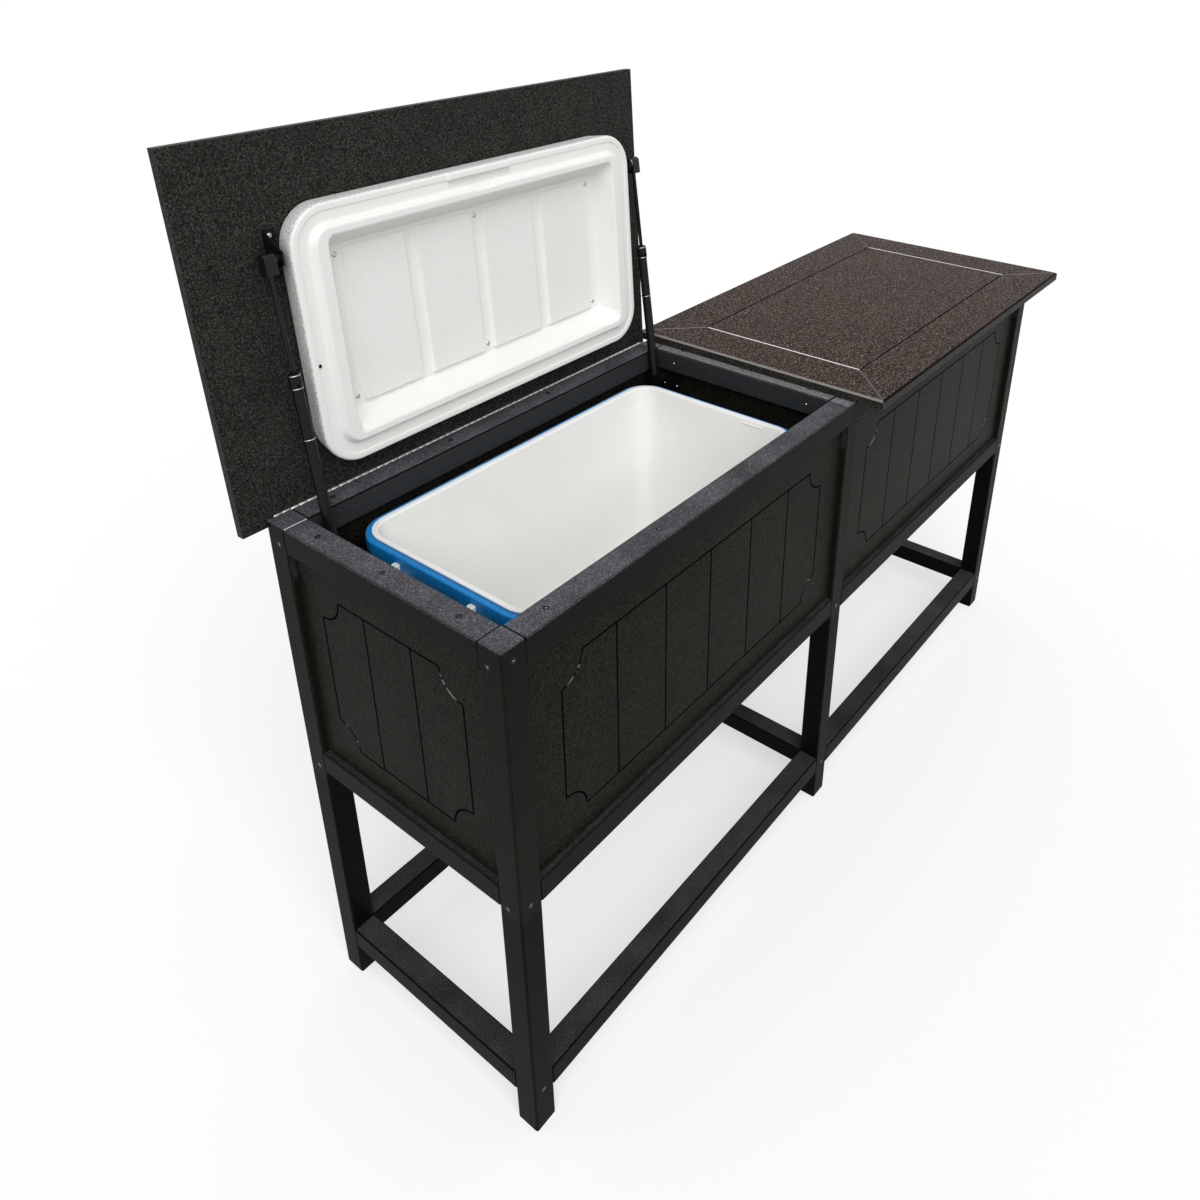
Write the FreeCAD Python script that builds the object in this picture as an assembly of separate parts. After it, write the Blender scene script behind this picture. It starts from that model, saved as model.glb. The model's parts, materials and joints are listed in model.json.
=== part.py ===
import FreeCAD, Part
import math
import os

from FreeCAD import Vector

# Double cooler table: a frame of square poly lumber carries two ice chests side by side.
# Each bay has its own hinged table lid, with the ice chest's own lid screwed under it.
# Millimetres. +X runs to the right along the table, +Y to the back, +Z up.
# The origin lies on the floor, under the middle of the table.
# The left table lid is modelled open and the right one closed.

# Frame
stock = 38.1
stock_ease = 2.2
bay_length = 736.6
bay_depth = 357.2
frame_height = 852.0
panel_rail_height = 436.5
stretcher_height = 62.5

# Panels between the posts
panel_thickness = 19.05
groove_width = 3.0
groove_depth = 2.2
border_side_margin = 61.0
border_end_margin = 44.6
border_top_margin = 44.5
border_corner_radius = 38.0
side_boards = 6
end_boards = 3

# Floor sheet under each ice chest
floor_thickness = 12.7
floor_clearance = 1.0

# Table lids
lid_thickness = 16.0
lid_end_overhang = 31.8
lid_front_overhang = 47.6
lid_back_overhang = 14.6
lid_gap = 2.5
lid_ease = 3.0
lid_border = 88.9
lid_open_angle = 93.1

# Continuous hinges
barrel_radius = 2.6
barrel_clearance = 0.3
hinge_pin_radius = 1.3
hinge_pin_clearance = 0.05
leaf_thickness = 1.2
leaf_edge_margin = 0.7
knuckle_count = 3
knuckle_gap = 0.3
hinge_end_margin = 12.7

# Gas struts
strut_wall_gap = 13.9
strut_back_gap = 15.3
strut_frame_drop = 53.0
strut_front_gap = 59.5
strut_lid_drop = 28.0
tube_radius = 7.5
tube_end_wall = 8.0
rod_radius = 3.0
rod_clearance = 0.06
rod_shown_closed = 16.0
rod_rest_gap = 2.0
eye_width = 16.0
eye_ease = 4.0
foot_eye_neck = 14.0
head_eye_neck = 18.0

# Strut brackets
bracket_thickness = 2.0
stud_radius = 4.0
stud_clearance = 0.06
stud_tip = 1.0
stud_side_gap = 0.3
lid_stud_length = 7.7
lid_stud_radius = 5.0
lid_stud_sides = 6
standoff_radius = 8.0
standoff_sides = 6
frame_plate_front = 37.0
frame_plate_back = 11.0
frame_plate_below = 22.0
frame_plate_above = 13.0
lid_plate_length = 60.0
lid_plate_gap = 2.3
lid_tongue_width = 16.0

# Ice chest lid
chest_lid_side_gap = 8.3
chest_lid_front_gap = 3.6
chest_lid_height = 40.0
chest_lid_corner_radius = 54.0
crown_end_inset = 8.0
crown_side_inset = 2.0
lip_band_height = 7.0
cover_thickness = 6.0
lid_panel_fit = 0.3
plug_clearance = 3.5
plug_drop = 8.0
plug_end_width = 25.0
plug_side_width = 17.5
recess_corner_radius = 16.0
recess_end_slope = 14.0
recess_side_slope = 21.5
recess_cover = 16.0
channel_width = 20.0
channel_depth = 6.0
channel_pitch = 122.0
channel_inset = 5.0
tab_length = 114.0
tab_clearance = 3.5
notch_length = 30.0
notch_depth = 5.0

# Ice chest body
chest_lid_overhang = 4.0
chest_lip_overhang = 4.0
chest_lip_height = 12.0
chest_end_draft = 17.0
chest_side_draft = 15.0
chest_wall = 3.5
blue_rim_width = 9.0
seat_gap = 0.5

# Ice chest liner
rim_thickness = 3.0
rim_width = 7.0
liner_wall = 3.0
liner_draft = 19.0
liner_floor_rise = 26.0
liner_fit = 0.3
liner_bar_length = 45.0
liner_bar_height = 5.0
liner_bar_reach = 3.0
liner_bar_offset = 88.0
liner_bar_drop = 1.5

# Ice chest handles
handle_span = 147.0
handle_drop = 70.0
handle_arm_width = 10.0
handle_grip_height = 12.0
handle_thickness = 8.0
handle_corner_ease = 14.0
handle_side_gap = 0.5
handle_pin_radius = 3.2
handle_pin_clearance = 0.06
handle_pin_length = 9.0
handle_pin_end_gap = 0.5
handle_pivot_reach = 4.0
mount_width = 17.0
mount_reach = 12.0
mount_height = 34.0
mount_top_drop = 2.5
mount_pivot_rise = 10.0

# Screws
screw_head_height = 2.4
screw_head_radius = 4.2
screw_shank_radius = 2.0
screw_sides = 6
chest_lid_screw_length = 20.0
chest_lid_screw_margin = 8.0

# Points nearer to each other than this count as one point
same_point = 0.001

# Places that follow from the sizes
left_face = -(2 * bay_length + 3 * stock) / 2
right_face = -left_face
front_face = -(bay_depth + 2 * stock) / 2
back_face = -front_face
post_starts = [left_face, -stock / 2, right_face - stock]
bay_starts = [left_face + stock, stock / 2]
bay_centres = [start + bay_length / 2 for start in bay_starts]
top_rail_bottom = frame_height - stock
panel_bottom = panel_rail_height + stock
panel_height = top_rail_bottom - panel_bottom
panel_recess = (stock - panel_thickness) / 2
floor_top = panel_bottom + floor_thickness

hinge_offset = barrel_radius + barrel_clearance
hinge_axis = Vector(0, back_face + hinge_offset, frame_height - hinge_offset)
opening_turn = Vector(-1, 0, 0)
leaf_width = lid_back_overhang - hinge_offset - leaf_edge_margin

strut_x = -bay_length / 2 + strut_wall_gap + eye_width / 2
strut_foot = Vector(0, back_face - stock - strut_back_gap, frame_height - strut_frame_drop)
strut_head = Vector(0, front_face + stock + strut_front_gap, frame_height - strut_lid_drop)
lid_flange_x = strut_x + eye_width / 2 + stud_side_gap + lid_stud_length
lid_plate_foot = bracket_thickness + chest_lid_side_gap + crown_end_inset - lid_plate_gap

chest_lid_length = -2 * (lid_flange_x + bracket_thickness + chest_lid_side_gap)
chest_lid_depth = bay_depth - 2 * chest_lid_front_gap
chest_lid_bottom = frame_height - chest_lid_height
chest_length = chest_lid_length - 2 * chest_lid_overhang
chest_depth = chest_lid_depth - 2 * chest_lid_overhang
chest_corner_radius = chest_lid_corner_radius - chest_lid_overhang
rim_top = chest_lid_bottom - seat_gap
skin_top = rim_top - rim_thickness
lip_bottom = skin_top - chest_lip_height
rim_length = chest_length - 2 * blue_rim_width
rim_depth = chest_depth - 2 * blue_rim_width
mouth_length = rim_length - 2 * rim_width
mouth_depth = rim_depth - 2 * rim_width
mouth_corner_radius = chest_corner_radius - blue_rim_width - rim_width
liner_floor = floor_top + liner_floor_rise
liner_bottom = liner_floor - liner_wall

mount_top = skin_top - mount_top_drop
handle_pivot_x = chest_length / 2 + handle_pivot_reach
handle_pivot_z = mount_top - mount_height + mount_pivot_rise
handle_half_width = handle_span / 2 - mount_width / 2 - handle_side_gap

os.makedirs("parts", exist_ok=True)


def save(node, solids):
    shape = solids[0] if len(solids) == 1 else Part.makeCompound(solids)
    shape.exportStep("parts/" + node + ".step")


def box(low, high):
    size = Vector(*high) - Vector(*low)
    return Part.makeBox(size.x, size.y, size.z, Vector(*low))


def rod_between(start, end, radius):
    along = Vector(*end) - Vector(*start)
    return Part.makeCylinder(radius, along.Length, Vector(*start), along)


def shifted(shape, x):
    moved = shape.copy()
    moved.translate(Vector(x, 0, 0))
    return moved


def flipped(shape):
    return shape.mirror(Vector(0, 0, 0), Vector(1, 0, 0))


# Both ends of a bay are alike: a piece made for the left end, and its mirror image.
def both_ends(shape):
    return [shape, flipped(shape)]


def swung_open(shape):
    turned = shape.copy()
    turned.rotate(hinge_axis, opening_turn, lid_open_angle)
    return turned


# A length of square stock with its four long edges eased.
def stock_bar(low, high, along):
    bar = box(low, high)
    long_edges = [edge for edge in bar.Edges
                  if edge.tangentAt(edge.FirstParameter).cross(along).Length < same_point]
    return bar.makeChamfer(stock_ease, long_edges)


# A level rectangle with round corners at height z: corner, side, corner and so on.
def rounded_outline(length, depth, radius, z):
    arcs = []
    for turn in range(4):
        start = math.pi / 2 * turn
        sign_x = 1 if turn in (0, 3) else -1
        sign_y = 1 if turn in (0, 1) else -1
        centre = Vector(sign_x * (length / 2 - radius), sign_y * (depth / 2 - radius), z)
        angles = [start, start + math.pi / 4, start + math.pi / 2]
        arcs.append(Part.Arc(*[centre + Vector(math.cos(a), math.sin(a), 0) * radius for a in angles]))
    edges = []
    for arc, following in zip(arcs, arcs[1:] + arcs[:1]):
        edges.append(arc.toShape())
        edges.append(Part.makeLine(arc.EndPoint, following.StartPoint))
    return edges


# A block between two such outlines, each given as (length, depth, corner radius, height).
# Its sides are flat and its corners are ruled.
def tapered_block(lower, upper):
    below, above = rounded_outline(*lower), rounded_outline(*upper)
    faces = [Part.Face(Part.Wire(below)), Part.Face(Part.Wire(above))]
    for low, high in zip(below[0::2], above[0::2]):
        faces.append(Part.makeRuledSurface(low, high))
    for low, high in zip(below[1::2], above[1::2]):
        corners = [vertex.Point for vertex in low.Vertexes + high.Vertexes[::-1]]
        faces.append(Part.Face(Part.makePolygon(corners + corners[:1])))
    block = Part.Solid(Part.Shell(faces))
    if block.Volume < 0:
        block.reverse()
    return block


def straight_block(length, depth, radius, low, high):
    outline = Part.Wire(rounded_outline(length, depth, radius, low))
    return Part.Face(outline).extrude(Vector(0, 0, high - low))


# An upright prism with a regular outline.
def prism(radius, sides, low, high):
    angles = [2 * math.pi * index / sides for index in range(sides)]
    corners = [Vector(radius * math.cos(angle), radius * math.sin(angle), low) for angle in angles]
    return Part.Face(Part.makePolygon(corners + corners[:1])).extrude(Vector(0, 0, high - low))


# The same shape laid so that its own Z runs along a direction from a point.
def laid(shape, start, direction):
    shape.Placement = FreeCAD.Placement(Vector(*start), FreeCAD.Rotation(Vector(0, 0, 1), Vector(*direction)))
    return shape


# The V section of a groove at a point on the plane z = 0, with its sides carried on above the plane.
def groove_section(point, across):
    top = across * groove_width + Vector(0, 0, groove_depth)
    other_top = across * -groove_width + Vector(0, 0, groove_depth)
    corners = [point + top, point + other_top, point - Vector(0, 0, groove_depth), point + top]
    return Part.Face(Part.makePolygon(corners))


def straight_groove(start, end):
    start = Vector(*start)
    along = Vector(*end) - start
    across = Vector(-along.y, along.x, 0).normalize()
    return groove_section(start, across).extrude(along)


def quarter_groove(centre, radius, first_angle):
    centre = Vector(*centre)
    out = Vector(math.cos(math.radians(first_angle)), math.sin(math.radians(first_angle)), 0)
    return groove_section(centre + out * radius, out).revolve(centre, Vector(0, 0, 1), 90)


# The lines cut into a panel: a border with inward-curved corners, and the joints between its boards.
def panel_grooves(length, margin, boards):
    left, right = margin, length - margin
    bottom, top = border_top_margin, panel_height - border_top_margin
    radius = border_corner_radius
    grooves = []
    for x in (left, right):
        grooves.append(straight_groove((x, bottom + radius), (x, top - radius)))
    for y in (bottom, top):
        grooves.append(straight_groove((left + radius, y), (right - radius, y)))
    corners = [(left, bottom), (right, bottom), (right, top), (left, top)]
    for turn, corner in enumerate(corners):
        grooves.append(quarter_groove(corner, radius, 90 * turn))
    board_width = (right - left) / boards
    for index in range(1, boards):
        x = left + board_width * index
        grooves.append(straight_groove((x, bottom), (x, top)))
    return grooves


# A panel is grooved lying flat with its face up, then stood up at a corner of its opening.
def grooved_panel(length, margin, boards, corner, facing):
    panel = box((0, 0, -panel_thickness), (length, panel_height, 0))
    panel = panel.cut(panel_grooves(length, margin, boards))
    turn = FreeCAD.Rotation(Vector(0, 0, 1), facing) * FreeCAD.Rotation(Vector(1, 0, 0), 90)
    panel.Placement = FreeCAD.Placement(Vector(*corner), turn)
    return panel


# The corner posts run to the top. The middle posts stop under the long top rails.
def make_posts():
    for row, low_y in (("front", front_face), ("back", back_face - stock)):
        for column, low_x in zip(("left", "middle", "right"), post_starts):
            top = top_rail_bottom if column == "middle" else frame_height
            post = stock_bar((low_x, low_y, 0), (low_x + stock, low_y + stock, top), Vector(0, 0, 1))
            save(row + "_" + column + "_post", [post])


# Two long top rails meet over each middle post. The cross rails butt between front and back.
def make_top_rails():
    spans = {"left": (bay_starts[0], 0), "right": (0, bay_starts[1] + bay_length)}
    for row, low_y in (("front", front_face), ("back", back_face - stock)):
        for side, (start, end) in spans.items():
            low = (start, low_y, top_rail_bottom)
            high = (end, low_y + stock, frame_height)
            save(row + "_" + side + "_top_rail", [stock_bar(low, high, Vector(1, 0, 0))])
    for name, rail in zip(("left", "middle", "right"), cross_rails(top_rail_bottom)):
        save(name + "_top_rail", [rail])


def long_rails(low_y, low_z):
    rails = []
    for start in bay_starts:
        high = (start + bay_length, low_y + stock, low_z + stock)
        rails.append(stock_bar((start, low_y, low_z), high, Vector(1, 0, 0)))
    return rails


def cross_rails(low_z):
    rails = []
    for start in post_starts:
        high = (start + stock, back_face - stock, low_z + stock)
        rails.append(stock_bar((start, front_face + stock, low_z), high, Vector(0, 1, 0)))
    return rails


def make_lower_rails():
    save("front_panel_rails", long_rails(front_face, panel_rail_height))
    save("back_panel_rails", long_rails(back_face - stock, panel_rail_height))
    save("cross_panel_rails", cross_rails(panel_rail_height))
    stretchers = long_rails(front_face, stretcher_height) + long_rails(back_face - stock, stretcher_height)
    save("long_stretchers", stretchers)
    save("cross_stretchers", cross_rails(stretcher_height))


def make_panels():
    for side, start in zip(("left", "right"), bay_starts):
        corner = (start, front_face + panel_recess, panel_bottom)
        front = grooved_panel(bay_length, border_side_margin, side_boards, corner, 0)
        save("front_" + side + "_panel", [front])
        low = (start, back_face - panel_recess - panel_thickness, panel_bottom)
        high = (start + bay_length, back_face - panel_recess, top_rail_bottom)
        save("back_" + side + "_panel", [box(low, high)])
    left = (left_face + panel_recess, back_face - stock, panel_bottom)
    right = (right_face - panel_recess, front_face + stock, panel_bottom)
    save("left_panel", [grooved_panel(bay_depth, border_end_margin, end_boards, left, 270)])
    save("right_panel", [grooved_panel(bay_depth, border_end_margin, end_boards, right, 90)])
    low = (-panel_thickness / 2, front_face + stock, panel_bottom)
    high = (panel_thickness / 2, back_face - stock, top_rail_bottom)
    save("middle_panel", [box(low, high)])


# Each floor sheet lies on the ledge of the panel rails, inside the panels, notched round the posts.
def make_floors():
    reach = panel_recess - floor_clearance
    floors = []
    for start in bay_starts:
        low = (start - reach, front_face + stock - reach, panel_bottom)
        high = (start + bay_length + reach, back_face - stock + reach, floor_top)
        floor = box(low, high)
        for low_x in post_starts:
            for low_y in (front_face, back_face - stock):
                low = (low_x - floor_clearance, low_y - floor_clearance, 0)
                high = (low_x + stock + floor_clearance, low_y + stock + floor_clearance, frame_height)
                floor = floor.cut(box(low, high))
        floors.append(floor)
    save("cooler_floors", floors)


# A screw whose head seats at a point, with its shank driven along a direction.
def screw(seat, direction, length):
    head = prism(screw_head_radius, screw_sides, -screw_head_height, 0)
    shank = prism(screw_shank_radius, screw_sides, 0, length)
    return laid(head.fuse(shank).removeSplitter(), seat, direction)


# A table lid: one sheet with eased top edges and a mitred border cut as grooves.
def table_lid(start, end):
    low_y, high_y = front_face - lid_front_overhang, back_face + lid_back_overhang
    length, depth = end - start, high_y - low_y
    sheet = box((0, 0, -lid_thickness), (length, depth, 0))
    top_edges = [edge for edge in sheet.Edges if edge.BoundBox.ZMin > -lid_thickness / 2]
    sheet = sheet.makeChamfer(lid_ease, top_edges)
    near, far, wide = lid_border, depth - lid_border, length - lid_border
    inner = [(near, near), (wide, near), (wide, far), (near, far)]
    outer = [(0, 0), (length, 0), (length, depth), (0, depth)]
    grooves = [straight_groove(a, b) for a, b in zip(inner, inner[1:] + inner[:1])]
    grooves += [straight_groove(a, b) for a, b in zip(inner, outer)]
    sheet = sheet.cut(grooves)
    sheet.translate(Vector(start, low_y, frame_height + lid_thickness))
    return sheet


# A continuous hinge along the top of the back rail, under the lid's rear overhang.
# The knuckles alternate, so each leaf is notched where the other leaf's knuckles turn.
# The pin is pressed into the frame leaf's knuckles, and the lid leaf's knuckles are bored to turn on it.
def hinge_leaf(start, end, first_knuckle):
    pitch = (end - start) / knuckle_count
    y, z = hinge_axis.y, hinge_axis.z
    if first_knuckle == 0:
        leaf = box((start, back_face, z - leaf_width), (end, back_face + leaf_thickness, z))
    else:
        leaf = box((start, y, frame_height - leaf_thickness), (end, y + leaf_width, frame_height))
    clear = hinge_offset
    barrels = []
    for index in range(knuckle_count):
        low, high = start + pitch * index, start + pitch * (index + 1)
        if index % 2 == first_knuckle:
            low, high = low + knuckle_gap / 2, high - knuckle_gap / 2
            barrels.append(rod_between((low, y, z), (high, y, z), barrel_radius))
        else:
            low, high = low - knuckle_gap / 2, high + knuckle_gap / 2
            leaf = leaf.cut(box((low, y - clear, z - clear), (high, y + clear, z + clear)))
    leaf = leaf.fuse(barrels)
    if first_knuckle == 1:
        leaf = leaf.cut(rod_between((start, y, z), (end, y, z), hinge_pin_radius + hinge_pin_clearance))
    return leaf.removeSplitter()


def hinge_span(side):
    if side == "left":
        return left_face + hinge_end_margin, -hinge_end_margin
    return hinge_end_margin, right_face - hinge_end_margin


def make_hinges():
    frame_leaves, pins = [], []
    for side in ("left", "right"):
        start, end = hinge_span(side)
        frame_leaves.append(hinge_leaf(start, end, 0))
        pins.append(rod_between((start, hinge_axis.y, hinge_axis.z), (end, hinge_axis.y, hinge_axis.z),
                                hinge_pin_radius))
    save("hinge_frame_leaves", frame_leaves)
    save("hinge_pins", pins)


# The strut's length and its turn about X, from upright, with the lid closed or open.
def strut_pose(is_open):
    head = Part.Vertex(strut_head)
    if is_open:
        head = swung_open(head)
    along = head.Point - strut_foot
    return along.Length, math.degrees(math.atan2(-along.y, along.z))


closed_strut_length = strut_pose(False)[0]
tube_top = closed_strut_length - head_eye_neck - rod_shown_closed
rod_rest = foot_eye_neck + tube_end_wall + rod_rest_gap


# The block at a strut's end, about the pivot that lies along X at height z, with eased outer corners.
def strut_eye(z, neck):
    half = eye_width / 2
    tip = z - math.copysign(half, neck)
    low, high = sorted((tip, z + neck))
    eye = box((-half, -half, low), (half, half, high))
    tip_edges = []
    for edge in eye.Edges:
        middle = edge.CenterOfMass
        if abs(middle.z - tip) < same_point and abs(middle.x) < same_point:
            tip_edges.append(edge)
    return eye.makeChamfer(eye_ease, tip_edges)


def strut_tube():
    tube = Part.makeCylinder(tube_radius, tube_top - foot_eye_neck, Vector(0, 0, foot_eye_neck))
    bore_low = foot_eye_neck + tube_end_wall
    bore = Part.makeCylinder(rod_radius + rod_clearance, tube_top - bore_low, Vector(0, 0, bore_low))
    eye = strut_eye(0, foot_eye_neck)
    stud_hole = rod_between((-eye_width, 0, 0), (eye_width, 0, 0), stud_radius + stud_clearance)
    return eye.fuse(tube).cut([bore, stud_hole])


def strut_rod(length):
    low = length - closed_strut_length + rod_rest
    rod = Part.makeCylinder(rod_radius, length - head_eye_neck - low, Vector(0, 0, low))
    return strut_eye(length, -head_eye_neck).fuse(rod)


def make_struts():
    for side, centre in zip(("left", "right"), bay_centres):
        length, turn = strut_pose(side == "left")
        for name, strut in (("tube", strut_tube()), ("rod", strut_rod(length))):
            strut.rotate(Vector(0, 0, 0), Vector(1, 0, 0), turn)
            strut.translate(strut_foot + Vector(strut_x, 0, 0))
            for end, piece in zip(("left", "right"), both_ends(strut)):
                save(side + "_lid_" + end + "_strut_" + name, [shifted(piece, centre)])


# The lower bracket: a plate on the inside of the end panel with a stand-off and a stud through the eye.
def frame_bracket():
    panel_face = -bay_length / 2 - panel_recess
    y, z = strut_foot.y, strut_foot.z
    low = (panel_face, y - frame_plate_front, z - frame_plate_below)
    high = (panel_face + bracket_thickness, y + frame_plate_back, z + frame_plate_above)
    eye_near, eye_far = strut_x - eye_width / 2, strut_x + eye_width / 2
    standoff = prism(standoff_radius, standoff_sides, 0, eye_near - stud_side_gap - panel_face)
    standoff = laid(standoff, (panel_face, y, z), (1, 0, 0))
    stud = rod_between((panel_face, y, z), (eye_far + stud_tip, y, z), stud_radius)
    return box(low, high).fuse([standoff, stud]).removeSplitter()


# The upper bracket: an angle under the lid whose stud points at the strut's end and stops just clear of it.
def lid_bracket():
    y, z = strut_head.y, strut_head.z
    near, far = lid_flange_x, lid_flange_x + bracket_thickness
    long_half, short_half = lid_plate_length / 2, lid_tongue_width / 2
    foot = box((near, y - long_half, frame_height - bracket_thickness),
               (near + lid_plate_foot, y + long_half, frame_height))
    foot_bottom, tip = frame_height - bracket_thickness, z - short_half
    corners = [(long_half, frame_height), (-long_half, frame_height), (-long_half, foot_bottom),
               (-short_half, tip), (short_half, tip), (long_half, foot_bottom)]
    outline = [Vector(near, y + across, height) for across, height in corners]
    tongue = Part.Face(Part.makePolygon(outline + outline[:1])).extrude(Vector(far - near, 0, 0))
    stud = laid(prism(lid_stud_radius, lid_stud_sides, 0, lid_stud_length), (near, y, z), (-1, 0, 0))
    return foot.fuse([tongue, stud]).removeSplitter()


def make_frame_brackets():
    save("strut_frame_brackets", [shifted(piece, centre) for centre in bay_centres
                                  for piece in both_ends(frame_bracket())])


# Places inside the ice chest's lid
plug_length = mouth_length - 2 * plug_clearance
plug_depth = mouth_depth - 2 * plug_clearance
plug_corner_radius = mouth_corner_radius - plug_clearance
plug_bottom = chest_lid_bottom - plug_drop
lid_panel_top = frame_height - cover_thickness
recess_length = plug_length - 2 * plug_end_width
recess_depth = plug_depth - 2 * plug_side_width
recess_floor_length = recess_length - 2 * recess_end_slope
recess_floor_depth = recess_depth - 2 * recess_side_slope
recess_top = frame_height - recess_cover
channel_top = recess_top + channel_depth
end_channel_x = recess_floor_length / 2 - channel_inset - channel_width / 2
channel_end_y = recess_floor_depth / 2 - channel_inset


# The lid's outer moulding: a flange and a crown with a pull tab in front, and a pocket for the inner panel.
def chest_lid_cover():
    wide, deep, radius = chest_lid_length, chest_lid_depth, chest_lid_corner_radius
    band_top = chest_lid_bottom + lip_band_height
    band = straight_block(wide, deep, radius, chest_lid_bottom, band_top)
    crown = tapered_block((wide, deep, radius, band_top),
                          (wide - 2 * crown_end_inset, deep - 2 * crown_side_inset, radius, frame_height))
    tab_width = chest_lid_overhang + blue_rim_width - tab_clearance
    tab = box((-tab_length / 2, -deep / 2, chest_lid_bottom - rim_thickness),
              (tab_length / 2, -deep / 2 + tab_width, chest_lid_bottom))
    pocket = straight_block(plug_length + 2 * lid_panel_fit, plug_depth + 2 * lid_panel_fit,
                            plug_corner_radius + lid_panel_fit, chest_lid_bottom, lid_panel_top)
    return band.fuse([crown, tab]).cut(pocket).removeSplitter()


# The lid's inner moulding: a plug that drops into the mouth, with a sloped recess, raised pads between
# screw channels, and a finger notch in front.
def chest_lid_panel():
    panel = straight_block(plug_length, plug_depth, plug_corner_radius, plug_bottom, lid_panel_top)
    recess = tapered_block((recess_length, recess_depth, recess_corner_radius, plug_bottom),
                           (recess_floor_length, recess_floor_depth, recess_corner_radius, recess_top))
    cuts = [recess]
    for x in (-end_channel_x, -channel_pitch, 0, channel_pitch, end_channel_x):
        cuts.append(box((x - channel_width / 2, -channel_end_y, recess_top - channel_depth),
                        (x + channel_width / 2, channel_end_y, channel_top)))
    cuts.append(box((-notch_length / 2, -plug_depth / 2, plug_bottom),
                    (notch_length / 2, -plug_depth / 2 + notch_depth, chest_lid_bottom)))
    return panel.cut(cuts).removeSplitter()


def chest_lid_screws():
    y = channel_end_y - chest_lid_screw_margin
    seats = [(x, sign * y, channel_top) for x in (-end_channel_x, 0, end_channel_x) for sign in (-1, 1)]
    return [screw(seat, (0, 0, 1), chest_lid_screw_length) for seat in seats]


# Everything that turns with a table lid. It is built closed and the left set is then swung open.
def make_lids():
    spans = {"left": (left_face - lid_end_overhang, -lid_gap / 2),
             "right": (lid_gap / 2, right_face + lid_end_overhang)}
    for side, centre in zip(("left", "right"), bay_centres):
        pieces = {
            side + "_table_lid": [table_lid(*spans[side])],
            side + "_hinge_lid_leaf": [hinge_leaf(*hinge_span(side), 1)],
            side + "_cooler_lid": [shifted(chest_lid_cover(), centre)],
            side + "_cooler_lid_panel": [shifted(chest_lid_panel(), centre)],
            side + "_lid_strut_brackets": [shifted(piece, centre) for piece in both_ends(lid_bracket())],
            side + "_lid_screws": [shifted(piece, centre) for piece in chest_lid_screws()],
        }
        for node, solids in pieces.items():
            save(node, [swung_open(solid) for solid in solids] if side == "left" else solids)


# The outside of the ice chest's walls between two heights, shrunk inwards. It leans out towards the top.
def chest_form(shrink, low, high):
    outlines = []
    for z in (low, high):
        fall = (rim_top - z) / (rim_top - floor_top)
        inset = chest_lip_overhang + shrink
        outlines.append((chest_length - 2 * (inset + chest_end_draft * fall),
                         chest_depth - 2 * (inset + chest_side_draft * fall), chest_corner_radius - inset, z))
    return tapered_block(*outlines)


# The inside of the liner between two heights, grown outwards.
def liner_form(grow, low, high):
    outlines = []
    for z in (low, high):
        inset = liner_draft * (rim_top - z) / (rim_top - liner_floor) - grow
        outlines.append((mouth_length - 2 * inset, mouth_depth - 2 * inset, mouth_corner_radius + grow, z))
    return tapered_block(*outlines)


# The outer skin with its rolled lip before it is hollowed.
def chest_body():
    lip = straight_block(chest_length, chest_depth, chest_corner_radius, lip_bottom, skin_top)
    return chest_form(0, floor_top, lip_bottom).fuse(lip)


def chest_shell():
    hollow = chest_form(chest_wall, floor_top + chest_wall, lip_bottom)
    mouth = liner_form(liner_wall + liner_fit, lip_bottom, skin_top)
    return chest_body().cut([hollow, mouth]).removeSplitter()


# The liner hangs by its rim on the skin's lip, with the insulation's space between the two walls.
def chest_liner():
    rim = straight_block(rim_length, rim_depth, chest_corner_radius - blue_rim_width, skin_top, rim_top)
    tub = liner_form(liner_wall, liner_bottom, skin_top).fuse(rim)
    tub = tub.cut(liner_form(0, liner_floor, rim_top))
    bar_top = plug_bottom - liner_bar_drop
    wall_x = mouth_length / 2 - liner_draft * (rim_top - bar_top + liner_bar_height) / (rim_top - liner_floor)
    half = liner_bar_length / 2
    bar = box((wall_x - liner_bar_reach, -liner_bar_offset - half, bar_top - liner_bar_height),
              (wall_x + liner_wall / 2, -liner_bar_offset + half, bar_top))
    return tub.fuse(bar).removeSplitter()


# Handle mounts on the end walls, fitted to the skin, each with a blind hole for the handle's pin.
def handle_mounts():
    mounts = []
    outer_x = chest_length / 2 + mount_reach
    inside_wall_x = chest_length / 2 - chest_lip_overhang - chest_end_draft
    for sign in (-1, 1):
        y = sign * handle_span / 2
        low = (inside_wall_x, y - mount_width / 2, mount_top - mount_height)
        high = (outer_x, y + mount_width / 2, mount_top)
        block = box(low, high)
        hole_end = sign * (handle_half_width + handle_pin_length + handle_pin_end_gap)
        hole = rod_between((handle_pivot_x, 0, handle_pivot_z), (handle_pivot_x, hole_end, handle_pivot_z),
                           handle_pin_radius + handle_pin_clearance)
        mounts.append(block.cut([chest_body(), hole]).removeSplitter())
    return mounts


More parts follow.
